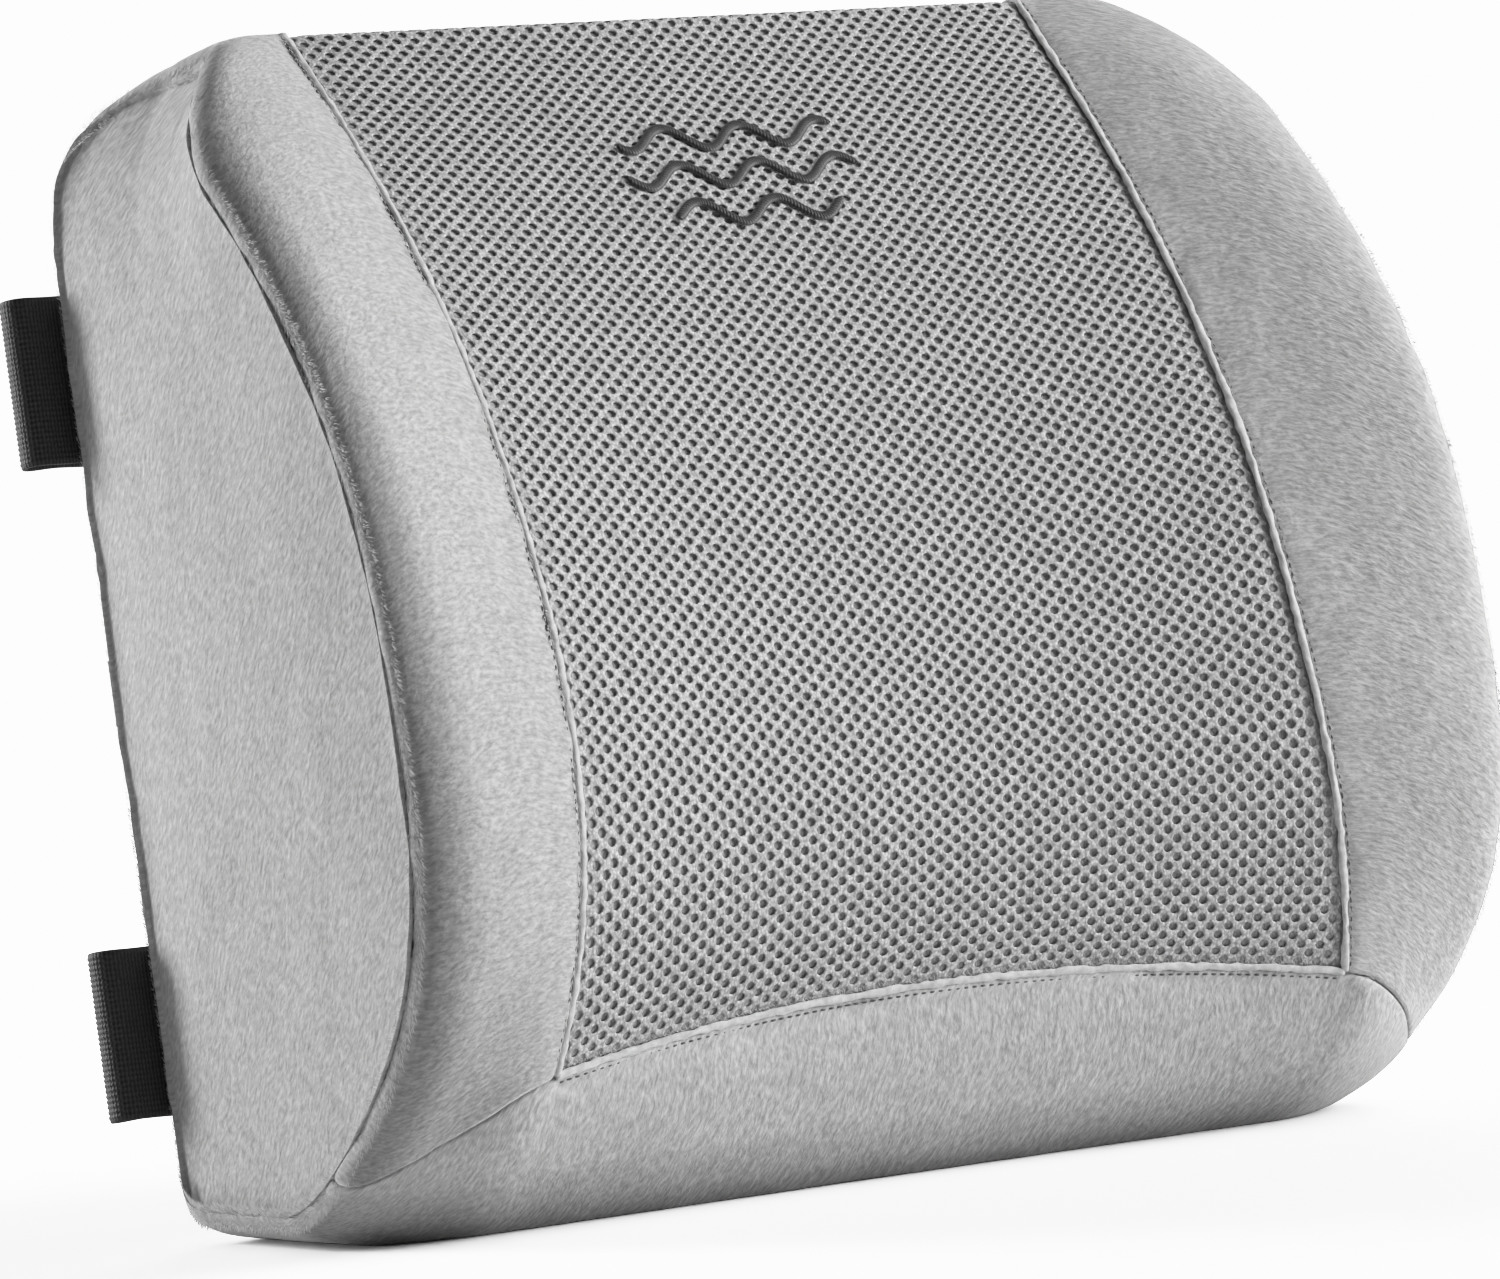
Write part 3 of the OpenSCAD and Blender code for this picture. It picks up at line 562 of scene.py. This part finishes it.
upper_u = U_BACK_SEAM + 0.03, u_back(ZIP_Z + ZIP_WINDOW)
lower_u = u_back(ZIP_Z - ZIP_WINDOW), U_HEEL_SEAM - 0.03
panel("back_upper", upper_u, FULL_WIDTH, ["back_upper_panel"], ALL, 0.7, FOOT_NAP, step_v=0.07)
panel("back_lower", lower_u, FULL_WIDTH, ["back_lower_panel"], ALL, 0.7, FOOT_NAP, step_v=0.07)


def side_point(u, s):
    mid = np.array([62.0, 150.0])
    p = lerp(mid, side_ring.soft(u), s[..., None])
    x = HALF_W + CROWN * (1 - s * s) - (HALF_W - side_x(u)) * s**6
    return np.stack([x, p[..., 0], p[..., 1]], -1)


def side_panel(name, side, node):
    us = np.arange(0, N_RING, 0.1)
    s = 1 - (1 - np.linspace(0.02, 1, 90)) ** 1.25
    u, s = np.meshgrid(us, np.minimum(s, 0.9993), indexing="ij")
    drawn = side_point(u, s) * [side, 1, 1]
    if side < 0:
        drawn = drawn[::-1]
    p = lean(drawn)
    n, dist = normals(p), lengths(p, 1)[1]
    h = 0.00022 * cloud(p, 0.011, 1) + 0.0005 * cloud(p, 0.03, 2) + 0.0005
    h = h - SEAM_DEPTH * np.exp(-dist / SEAM_WIDTH) + 0.0005 * cloud(p, 0.0075, 3) * np.exp(-dist / 0.006)
    p = p + n * h[..., None]
    p = np.concatenate([p, p[:, -1:] - n[:, -1:] * 0.0012], 1)
    drawn = np.concatenate([drawn, drawn[:, -1:]], 1)
    rows, cols = p.shape[:2]
    hub = [rows * cols]
    faces = grid_faces(rows, cols, wrap=True).tolist()
    faces += [[hub[0], i * cols, (i + 1) % rows * cols] for i in range(rows)]
    verts = np.concatenate([p.reshape(-1, 3), p[:, 0].mean(0)[None]])
    flat = np.concatenate([drawn.reshape(-1, 3), drawn[:, 0].mean(0)[None]])[:, 1:] / 1000
    return place(make(name, verts, faces, SIDE_NAP.mat, flat), SIDE_NAP, stands_for=[node], fill=0.85)


side_panel("left_side", -1, "left_side_panel")
side_panel("right_side", 1, "right_side_panel")

# ---------------------------------------------------------------- spacer mesh
HOLE_PITCH, ROW_PITCH = 5.5, 2.25
HOLE_W, HOLE_H = 1.36, 1.08


def arc_table(c=0.0):
    us = np.linspace(0, U_BACK_SEAM, 2001)
    p = middle(us, np.full_like(us, c))
    return us, np.concatenate([[0], np.cumsum(np.linalg.norm(np.diff(p, axis=0), axis=-1))])


MESH_U, MESH_S = arc_table()


def on_middle(x, s, up):
    """A point of the middle from x and the distance s along its centre line, up millimetres above it."""
    u = np.interp(s, MESH_S, MESH_U)
    half = mesh_x(u)
    c = np.clip(x / half, -1, 1)
    p = middle(u, c)
    e = 0.02
    du = middle(u + e, c) - middle(u - e, c)
    dc = middle(u, c + e) - middle(u, c - e)
    n = np.cross(du, dc)
    n /= np.linalg.norm(n, axis=-1, keepdims=True)
    return p + n * np.asarray(up)[..., None]


def spacer_mesh():
    """The knitted face: a staggered net of oval holes in a rounded yarn, cut off at the seams."""
    qx, qy = HOLE_PITCH / 2, ROW_PITCH
    tip = (qx * qx + qy * qy) / 2 / qx
    flat = (qx * qx + qy * qy) / 2 / qx - qy * qy / qx
    corners = np.array([[tip, 0], [flat, qy], [-flat, qy], [-tip, 0], [-flat, -qy], [flat, -qy]])
    rim = np.stack([corners, (corners + np.roll(corners, -1, 0)) / 2], 1).reshape(-1, 2)
    n = len(rim)
    angle = np.arctan2(rim[:, 1] / HOLE_H, rim[:, 0] / HOLE_W)
    oval = np.stack([HOLE_W * np.cos(angle), HOLE_H * np.sin(angle)], -1)
    end = MESH_S[-1]
    rows = int(end / qy) + 2
    cols = int(126 / qx) + 1
    i, j = np.meshgrid(np.arange(-cols, cols + 1), np.arange(-1, rows), indexing="ij")
    keep = (i + j) % 2 == 0
    centre = np.stack([i[keep] * qx, j[keep] * qy], -1)
    half = mesh_x(np.interp(centre[:, 1], MESH_S, MESH_U))
    centre = centre[np.abs(centre[:, 0]) < half + qx]
    spot = np.c_[centre, centre[:, :1]]
    wobble = 0.12 * np.stack([cloud(spot, 9.0, 5), cloud(spot, 9.0, 6)], -1)
    layers = [(rim, 0.08), (lerp(oval, rim, 0.45), 0.13), (oval, 0.0), (oval * 1.02, -0.3)]
    flat_xy, up = [], []
    for shape, height in layers:
        flat_xy.append(centre[:, None] + shape[None] + wobble[:, None] * (shape is not rim))
        up.append(np.full((len(centre), n), height))
    xy, up = np.stack(flat_xy, 1), np.stack(up, 1)
    s = np.clip(xy[..., 1], 0.4, end - 0.4)
    edge = mesh_x(np.interp(s, MESH_S, MESH_U)) - 0.5
    x = np.clip(xy[..., 0], -edge, edge)
    near = np.minimum(np.minimum(edge - np.abs(x), s), end - s)
    up = up - 1.3 * np.exp(-near / 2.5)
    verts = lean(on_middle(x, s, up)).reshape(-1, 3)
    cells = len(centre)
    layer_at = (np.arange(len(layers) - 1) * n)[None, :, None]
    base = (np.arange(cells) * len(layers) * n)[:, None, None] + layer_at
    k = np.arange(n)[None, None]
    nxt = (k + 1) % n
    quads = np.stack([base + k, base + nxt, base + n + nxt, base + n + k], -1).reshape(-1, 4)
    key = np.round(np.stack([x.ravel(), s.ravel(), up.ravel()], -1) * 50).astype(np.int64)
    _, first, inverse = np.unique(key, axis=0, return_index=True, return_inverse=True)
    quads = inverse.ravel()[quads]
    p = verts[first]
    area = np.linalg.norm(np.cross(p[quads[:, 2]] - p[quads[:, 0]], p[quads[:, 3]] - p[quads[:, 1]]), axis=-1)
    ok = area > 1e-9
    for a in range(4):
        ok &= quads[:, a] != quads[:, (a + 1) % 4]
    uv = np.stack([x.ravel(), s.ravel()], -1)[first] / 1000
    obj = make("spacer_mesh_face", p, quads[ok][:, ::-1], YARN.mat, uv)
    return place(obj, YARN, stands_for=["mesh_panel"], fill=0.85)


face = spacer_mesh()
us, cs = np.linspace(0.03, U_BACK_SEAM - 0.03, 200), np.linspace(-1, 1, 90)
p = lean(middle(*np.meshgrid(us, cs, indexing="ij")))
place(shell("spacer_mesh_backing", p, np.full(p.shape[:2], -0.0008), BACKING, tuck=0.0004), BACKING)


# ---------------------------------------------------------------- welts, stitches and motif
def frame_along(path, outs):
    along = np.gradient(path, axis=0)
    along /= np.linalg.norm(along, axis=-1, keepdims=True)
    outs = outs - along * (outs * along).sum(-1, keepdims=True)
    outs /= np.linalg.norm(outs, axis=-1, keepdims=True)
    return along, outs, np.cross(along, outs)


def tube(name, path, outs, half_w, half_h, paint, sides=12, rough=0.0, ends=True):
    """A rounded cord or band along a path in metres, half_w to each side and half_h up."""
    along, out, side = frame_along(path, outs)
    a = 2 * np.pi * np.arange(sides) / sides
    sideways = np.cos(a)[None, :, None] * side[:, None] * half_w
    ring = sideways + np.sin(a)[None, :, None] * out[:, None] * half_h
    p = path[:, None] + ring * (1 + rough * cloud(path[:, None] + ring * 3, 0.0022, 7))[..., None]
    rows = len(path)
    verts = p.reshape(-1, 3)
    i, j = np.meshgrid(np.arange(rows - 1), np.arange(sides), indexing="ij")
    a, b, k = i * sides + j, (i + 1) * sides + j, (j + 1) % sides
    quads = np.stack([a, b, (i + 1) * sides + k, i * sides + k], -1).reshape(-1, 4).tolist()
    if ends:
        quads += [list(range(sides)), list(range((rows - 1) * sides, rows * sides))[::-1]]
    gone = np.concatenate([[0], np.cumsum(np.linalg.norm(np.diff(path, axis=0), axis=-1))])
    around = np.arange(sides)[None] / sides * 0.01
    uv = np.stack(np.broadcast_arrays(around, gone[:, None]), -1).reshape(-1, 2)
    return make(name, verts, quads, paint.mat, uv)


def stitches(name, path, outs, paint, pitch=0.0026, length=0.0019, radius=0.00028, lift=0.0):
    """A row of separate stitches along a path: each a small rounded thread that dives in at both ends."""
    along, out, side = frame_along(path, outs)
    gone = np.concatenate([[0], np.cumsum(np.linalg.norm(np.diff(path, axis=0), axis=-1))])
    starts = np.arange(pitch / 2, gone[-1] - length, pitch)
    t = np.linspace(0, 1, 6)
    s = starts[:, None] + t[None] * length

    def pick(values):
        return np.stack([np.interp(s, gone, values[:, k]) for k in range(3)], -1)

    mid, o, w = pick(path), pick(out), pick(side)
    sides = 6
    a = 2 * np.pi * np.arange(sides) / sides
    thick = radius * np.sqrt(np.clip(np.sin(np.pi * np.clip(t, 0.03, 0.97)), 0.05, 1))[None, :, None, None]
    dive = (-1.5 * radius * (2 * t - 1) ** 4 + lift)[None, :, None]
    mid = mid + o * dive
    sideways = np.cos(a)[None, None, :, None] * w[:, :, None]
    upward = np.sin(a)[None, None, :, None] * o[:, :, None]
    p = mid[:, :, None] + thick * (sideways + upward)
    m = len(t)
    base = (np.arange(len(starts)) * m * sides)[:, None, None] + (np.arange(m - 1) * sides)[None, :, None]
    k = np.arange(sides)[None, None]
    quads = np.stack([base + k, base + sides + k, base + sides + (k + 1) % sides, base + (k + 1) % sides], -1)
    return make(name, p.reshape(-1, 3), quads.reshape(-1, 4), paint.mat)


def seam_line(u, v, up):
    """Points and outward directions along the cover, up millimetres above it."""
    u, v = np.broadcast_arrays(np.asarray(u, float), np.asarray(v, float))
    e = 0.02
    du = skin(u + e, v) - skin(u - e, v)
    dv = skin(u, np.minimum(v + e, N_COL)) - skin(u, np.maximum(v - e, 0))
    n = np.cross(du, dv)
    n /= np.linalg.norm(n, axis=-1, keepdims=True)
    p = skin(u, v)
    a = lean(p)
    return lean(p + n * up), (lean(p + n) - a) * 1000


def mesh_welt(name, side, node):
    v0 = N_WING if side < 0 else N_WING + N_MID
    u = np.linspace(0.05, U_BACK_CORNER + 3, 420)
    path, outs = seam_line(u, v0 - side * 0.016, 0.35)
    place(tube(name, path, outs, 0.0010, 0.0006, PILE, rough=0.45), PLUSH, stands_for=[node])
    path, outs = seam_line(u, v0 + side * 0.07, 0.35)
    place(stitches(name + "_stitches", path, outs, NEEDLE, radius=0.0003), NEEDLE)


mesh_welt("left_welt", -1, "left_mesh_welt")
mesh_welt("right_welt", 1, "right_mesh_welt")
v = np.linspace(N_WING + 0.02, N_WING + N_MID - 0.02, 300)
path, outs = seam_line(0.04, v, 0.35)
bottom_welt = tube("bottom_welt", path, outs, 0.0010, 0.0006, PILE, rough=0.45)
place(bottom_welt, PLUSH, stands_for=["bottom_mesh_welt"])
path, outs = seam_line(N_RING - 0.13, v, 0.35)
place(stitches("bottom_welt_stitches", path, outs, NEEDLE, radius=0.0003), NEEDLE)


def motif():
    """Three plain waves in raised satin stitch."""
    verts, faces, at = [], [], 0
    for k in (-1, 0, 1):
        reach = 36 - 6 * abs(k) - 4 * k
        x = np.linspace(-reach, reach, 420)
        mid_z = 262 - 11 * k + 3.2 * np.sin(2 * np.pi * x / 24)
        slope = np.gradient(mid_z, x)
        across = np.stack([-slope, np.ones_like(slope)], -1)
        across /= np.linalg.norm(across, axis=-1, keepdims=True)
        e = np.linspace(-1, 1, 11)
        half = 1.25 * np.clip(np.minimum(x + reach, reach - x) / 1.2, 0.05, 1) ** 0.5
        xs = x[:, None] + e[None] * half[:, None] * across[:, :1]
        zs = mid_z[:, None] + e[None] * half[:, None] * across[:, 1:]
        rib = 0.09 * np.sin(2 * np.pi * (x[:, None] + 0.5 * e[None]) / 0.75)
        up = 0.5 + (0.75 + rib) * np.sqrt(np.clip(1 - e**2, 0, 1))[None]
        s_of_z = np.interp(zs, middle(MESH_U, MESH_U * 0)[:1200, 2], MESH_S[:1200])
        p = lean(on_middle(xs, s_of_z, up))
        verts.append(p.reshape(-1, 3))
        faces.append(grid_faces(len(x), len(e), at))
        at += len(x) * len(e)
    return make("wave_motif", np.concatenate(verts), np.concatenate(faces)[:, ::-1], CHARCOAL.mat)


place(motif(), CHARCOAL, stands_for=["embroidered_motif"])


# ---------------------------------------------------------------- fur along the seams
def tufts(name, path, outs, lean_to, count, reach, length, seed):
    """Short fibres scattered to both sides of a seam, combed across it."""
    n = len(path)
    along, out, side = frame_along(path, outs)
    k = chance(count, seed) * (n - 2)
    i = k.astype(int)
    f = (k - i)[:, None]
    root = lerp(path[i], path[i + 1], f)
    o, w, a = out[i], side[i], along[i]
    spread = (2 * chance(count, seed + 1) - 1)[:, None]
    root = root + w * spread * reach
    turn = (2 * chance(count, seed + 2) - 1)[:, None]
    way = o * 0.16 + w * (lean_to + spread * 0.8) - a * (0.5 + 0.3 * turn)
    way /= np.linalg.norm(way, axis=-1, keepdims=True)
    size = length * (0.5 + 0.8 * chance(count, seed + 3))[:, None]
    wide = np.cross(way, o + 0.3 * a)
    wide /= np.linalg.norm(wide, axis=-1, keepdims=True)
    wide = wide * 0.00009
    mid = root + way * size * 0.55
    tip = root + way * size + (a * turn - o * 0.5) * size * 0.35
    verts = np.stack([root - wide, root + wide, mid + wide * 0.7, mid - wide * 0.7, tip], 1).reshape(-1, 3)
    b = np.arange(count) * 5
    faces = np.stack([b, b + 1, b + 2, b + 3], -1).tolist() + np.stack([b + 3, b + 2, b + 4], -1).tolist()
    return place(make(name, verts, faces, PILE.mat), PILE)


u = np.linspace(0, N_RING, 1600)
for side, name in ((-1, "left"), (1, "right")):
    path, outs = seam_line(np.mod(u, N_RING), N_COL / 2 + side * (N_COL / 2 - 0.16), 0.2)
    tufts(name + "_side_seam_fur", path, outs, 0.0, 12000, 0.0030, 0.0017, 11 + side)
u = np.linspace(0.1, U_BACK_SEAM, 700)
for side, name in ((-1, "left"), (1, "right")):
    path, outs = seam_line(u, N_WING + side * 0.03 if side < 0 else N_WING + N_MID + side * 0.03, 0.5)
    tufts(name + "_welt_fur", path, outs, -0.3 * side, 3500, 0.0010, 0.0012, 31 + side)
path, outs = seam_line(0.0, np.linspace(0.05, N_COL - 0.05, 900), -0.6)
tufts("lip_seam_fur", path, outs, 0.1, 5000, 0.0016, 0.0017, 51)


# ---------------------------------------------------------------- straps
WEB_W, WEB_T = 44, 1.8
LOWER_Z, UPPER_Z = 60, 231
IN_D, OUT_D, BAR_D, BAR_X = -1.4, -11.2, -13.9, 28.5
FOLD_R = (IN_D - OUT_D) / 2
FOLD_X = 179 - FOLD_R - WEB_T / 2
RETURN_D = 2 * BAR_D - OUT_D
RIB = 1.38


def band(name, route, z, body, nodes):
    """Ribbed webbing that follows a route of [x, d] points, WEB_W wide, as a closed strip."""
    route = np.asarray(route, float)
    step = np.concatenate([[0], np.cumsum(np.linalg.norm(np.diff(route, axis=0), axis=-1))])
    s = np.arange(0, step[-1], 1.4)
    line = np.stack([np.interp(s, step, route[:, k]) for k in (0, 1)], -1)
    t = np.gradient(line, axis=0)
    t /= np.linalg.norm(t, axis=-1, keepdims=True)
    n = np.stack([-t[:, 1], t[:, 0]], -1)
    m = 4 * int(WEB_W / RIB) + 1
    w = np.linspace(-WEB_W / 2, WEB_W / 2, m)
    ribs = WEB_T / 2 - 0.16 + 0.16 * np.cos(2 * np.pi * w / RIB)
    thick = ribs * np.clip((WEB_W / 2 + 0.15 - np.abs(w)) / 0.6, 0.25, 1) ** 0.5
    edge = 0.25 * cloud(np.stack([s, s * 0, s * 0], -1), 9.0, 4)
    rows = []
    for sign in (1, -1):
        p = line[:, None] + sign * n[:, None] * thick[None, :, None]
        q = np.broadcast_to(z + w[None] + edge[:, None], p.shape[:2])
        rows.append(np.stack([p[..., 0], p[..., 1], q], -1))
    ring = np.concatenate([rows[0], rows[1][:, ::-1]], 1)
    count = ring.shape[1]
    i, j = np.meshgrid(np.arange(len(s) - 1), np.arange(count), indexing="ij")
    k = (j + 1) % count
    corners = [i * count + j, (i + 1) * count + j, (i + 1) * count + k, i * count + k]
    quads = np.stack(corners, -1).reshape(-1, 4).tolist()
    last = (len(s) - 1) * count
    for a in range(m - 1):
        quads.append([a, a + 1, count - 2 - a, count - 1 - a])
        quads.append([last + count - 1 - a, last + count - 2 - a, last + a + 1, last + a])
    across = np.concatenate([w, w[::-1]])
    uv = np.stack(np.broadcast_arrays(s[:, None] / 1000, across[None] / 1000), -1).reshape(-1, 2)
    obj = make(name, lean(ring).reshape(-1, 3), quads, ELASTIC.mat, uv)
    return place(obj, ELASTIC, body=body, stands_for=nodes)


def turn(x, d, r, a0, a1, n=24):
    a = np.radians(np.linspace(a0, a1, n))
    return [[x + r * math.cos(k), d + r * math.sin(k)] for k in a]


def strap(which, z):
    fold_d = (IN_D + OUT_D) / 2
    loop = abs(BAR_D - OUT_D)
    fold = turn(-FOLD_X, fold_d, FOLD_R, 90, 270)
    left = [[-148, IN_D]] + fold + turn(-BAR_X, BAR_D, loop, 90, -90) + [[-56, RETURN_D]]
    band(which + "_left_webbing", left, z, "cushion", [which + "_strap_left_webbing"])
    anchor = [[148, IN_D]] + turn(FOLD_X, fold_d, FOLD_R, 90, -90) + [[166, OUT_D]]
    band(which + "_right_anchor", anchor, z, "cushion", [which + "_strap_right_anchor"])
    span = [[166, OUT_D]] + turn(BAR_X, BAR_D, loop, 90, 270) + [[56, RETURN_D]]
    obj = band(which + "_right_span", span, z, None, [which + "_strap_right_span"])
    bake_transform(obj)


strap("lower", LOWER_Z)
strap("upper", UPPER_Z)


# ---------------------------------------------------------------- zip
def helix(name, z, sign, node):
    pitch, r = 1.25, 0.75
    turns = int(2 * ZIP_HALF / pitch)
    t = np.linspace(0, turns, turns * 10 + 1)
    a = 2 * np.pi * t * sign
    x = -ZIP_HALF + t * pitch + 0.35 * np.sin(a)
    path = np.stack([x, -1.0 + r * np.cos(a), z + 1.15 * r * np.sin(a)], -1)
    outs = np.stack([x * 0, np.cos(a), np.sin(a)], -1)
    real = lean(path)
    turn_out = lean(path + outs) - real
    return place(tube(name, real, turn_out * 1000, 0.00034, 0.00034, COIL, sides=6), COIL, stands_for=[node])


helix("zip_coil_top", ZIP_Z + 1.6, 1, "zip_coil_upper")
helix("zip_coil_bottom", ZIP_Z - 1.6, -1, "zip_coil_lower")
for side, name, node in ((1, "zip_tape_top", "zip_tape_upper"), (-1, "zip_tape_bottom", "zip_tape_lower")):
    x, w = np.meshgrid(np.linspace(-TAPE_HALF, TAPE_HALF, 260), np.linspace(0.9, 9.5, 14), indexing="ij")
    q = np.stack([x, 0.1 + 0.05 * np.sin(w * 2.4), ZIP_Z + side * w], -1)
    if side < 0:
        q = q[:, ::-1]
    place(shell(name, lean(q)[::-1], np.zeros(x.shape), TAPE, tuck=0.0004), TAPE, stands_for=[node])


def zip_end_tab(side, name):
    """Stitched cloth that closes the cover between the end of the zip's tapes and a side seam."""
    inner, seam, half = 154.4, 165.1, 8.6
    x = np.sort(side * np.linspace(inner, seam, 60))
    x, z = np.meshgrid(x, np.linspace(-half, half, 90), indexing="ij")
    p = lean(np.stack([x, x * 0 - 0.2, ZIP_Z + z], -1))[::-1]
    h = relief(p, ALL, pucker=0.4) * 0.5 + 0.0001
    place(shell(f"zip_end_tab_{name}", p, h, FOOT_NAP, tuck=0.0004), FOOT_NAP, fill=0.7)
    z = np.linspace(-7, 7, 40)
    real = lean(np.stack([z * 0 + side * (inner + 1.2), z * 0 - 0.45, ZIP_Z + z], -1))
    back = np.broadcast_to(lean([0, -1, 0]) - lean([0, 0, 0]), real.shape) * 1000
    place(stitches(f"zip_end_stitches_{name}", real, back, SEWING), SEWING)


zip_end_tab(-1, "left")
zip_end_tab(1, "right")
for side in (1, -1):
    x = np.linspace(-158, 158, 500)
    for k, off in enumerate((1.6, 4.2)):
        q = np.stack([x, x * 0 - 0.1, x * 0 + ZIP_Z + side * (ZIP_WINDOW + off)], -1)
        real = lean(q)
        back = np.broadcast_to(lean([0, -1, 0]) - lean([0, 0, 0]), real.shape) * 1000
        place(stitches(f"zip_stitches_{'top' if side > 0 else 'bottom'}_{k}", real, back, SEWING), SEWING)


def blank_label():
    x, z = np.meshgrid(np.linspace(-112, -84, 40), np.linspace(104, 137, 44), indexing="ij")
    d = -0.5 - 0.5 * (1 - ((x + 98) / 14) ** 2) * (137 - z) / 33
    q = lean(np.stack([x, d, z], -1))
    obj = shell("blank_label", q, 0.00005 * cloud(q, 0.004, 8), LABEL, tuck=0.0002)
    place(obj, LABEL, stands_for=["care_label"])


blank_label()

# ---------------------------------------------------------------- carried-over hard parts
finish = {
    "foam_core": FOAM, "inner_liner_body": LINER,
    "inner_liner_end_left": LINER, "inner_liner_end_right": LINER,
    "zip_end_stops": METAL, "zip_slider": METAL, "zip_pull": METAL,
}
for which in ("lower", "upper"):
    finish[which + "_strap_bar_tacks"] = CHARCOAL
    for part in ("_strap_adjuster", "_buckle_socket", "_buckle_plug", "_buckle_prongs"):
        finish[which + part] = PLASTIC
for node, paint in finish.items():
    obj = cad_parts[node]
    obj.data.materials.clear()
    obj.data.materials.append(paint.mat)
    if paint in (METAL, PLASTIC):
        mod = obj.modifiers.new("rounded", "BEVEL")
        mod.width = 0.0002 if paint is METAL else 0.0009
        mod.segments = 3
        mod.limit_method = "ANGLE"
        mod.angle_limit = math.radians(40)
        mod.harden_normals = True


# ---------------------------------------------------------------- floor, light and camera
def floor():
    p = Paint("pale_floor", "floor")
    patch = p.noise(p.at["Object"], 3, 2.0)
    p.set(Base_Color=p.ramp(patch, (0.3, 0.84), (0.7, 0.87)), Roughness=0.7)
    obj = make("floor", [[-3, -3, 0], [3, -3, 0], [3, 3, 0], [-3, 3, 0]], [[0, 1, 2, 3]], p.mat, smooth=False)
    obj.is_shadow_catcher = True


floor()


def softbox(name, azimuth, elevation, distance, width, height, power):
    """A large soft light, its azimuth measured from the front (-y) round towards +x, aimed at the middle of
    the cushion.
    """
    a, e = math.radians(azimuth), math.radians(elevation)
    back = Vector((math.sin(a) * math.cos(e), -math.cos(a) * math.cos(e), math.sin(e)))
    data = bpy.data.lights.new(name, "AREA")
    data.shape, data.size, data.size_y, data.energy = "RECTANGLE", width, height, power
    obj = bpy.data.objects.new(name, data)
    bpy.context.scene.collection.objects.link(obj)
    obj.location = Vector((0, 0, 0.15)) + back * distance
    obj.rotation_mode = "QUATERNION"
    obj.rotation_quaternion = (-back).to_track_quat("-Z", "Y")


softbox("right_box", 58, 12, 1.8, 0.7, 1.2, 36)
softbox("left_rear_box", -142, 12, 1.8, 0.6, 1.2, 34)
softbox("right_rear_box", 145, 12, 1.8, 0.7, 1.2, 6)
softbox("high_box", 50, 48, 1.8, 0.9, 0.9, 9)

# the room's pale walls: bright where they are seen, dim as a light and dimmest in front
world = bpy.data.worlds.new("studio")
world.use_nodes = True
bpy.context.scene.world = world
nodes, links = world.node_tree.nodes, world.node_tree.links
seen = nodes["Background"]
dim = nodes.new("ShaderNodeBackground")
ray = nodes.new("ShaderNodeLightPath")
split = nodes.new("ShaderNodeMixShader")
way = nodes.new("ShaderNodeTexCoord")
front = nodes.new("ShaderNodeVectorMath")
shade = nodes.new("ShaderNodeMapRange")
front.operation = "DOT_PRODUCT"
front.inputs[1].default_value = (-0.52, -0.82, -0.25)
links.new(way.outputs["Generated"], front.inputs[0])
links.new(front.outputs["Value"], shade.inputs["Value"])
for socket, value in (("From Min", -0.3), ("From Max", 0.8), ("To Min", 0.235), ("To Max", 0.02)):
    shade.inputs[socket].default_value = value
seen.inputs["Color"].default_value = dim.inputs["Color"].default_value = (1, 1, 1, 1)
seen.inputs["Strength"].default_value = 2.0
links.new(shade.outputs["Result"], dim.inputs["Strength"])
links.new(ray.outputs["Is Camera Ray"], split.inputs[0])
links.new(dim.outputs[0], split.inputs[1])
links.new(seen.outputs[0], split.inputs[2])
links.new(split.outputs[0], nodes["World Output"].inputs[0])

camera = bpy.data.objects.new("camera", bpy.data.cameras.new("camera"))
bpy.context.scene.collection.objects.link(camera)
camera.data.sensor_width = 36
camera.data.lens = 181.08
right = Vector((0.84692, -0.52454, -0.08704))
up = Vector((0.08418, -0.02936, 0.99602))
forward = Vector((0.52501, 0.85087, -0.01929))
aim = Matrix((right, up, -forward)).transposed().to_4x4()
camera.matrix_world = Matrix.Translation((-1.05094, -1.68832, 0.18034)) @ aim
camera.data.clip_start, camera.data.clip_end = 0.05, 50
bpy.context.scene.camera = camera

# a film-like curve: even up to middle grey, then a slow shoulder, so that no pale cloth burns out
view = bpy.context.scene.view_settings
view.view_transform = "Standard"
view.use_curve_mapping = True
view.curve_mapping.white_level = (3.0, 3.0, 3.0)
film = view.curve_mapping.curves[3].points
for light in (0.25, 0.55, 0.8, 1.1, 1.5, 2.1):
    film.new(light / 3, light if light < 0.56 else 1 - 0.45 * math.exp((0.55 - light) / 0.45))
view.curve_mapping.update()
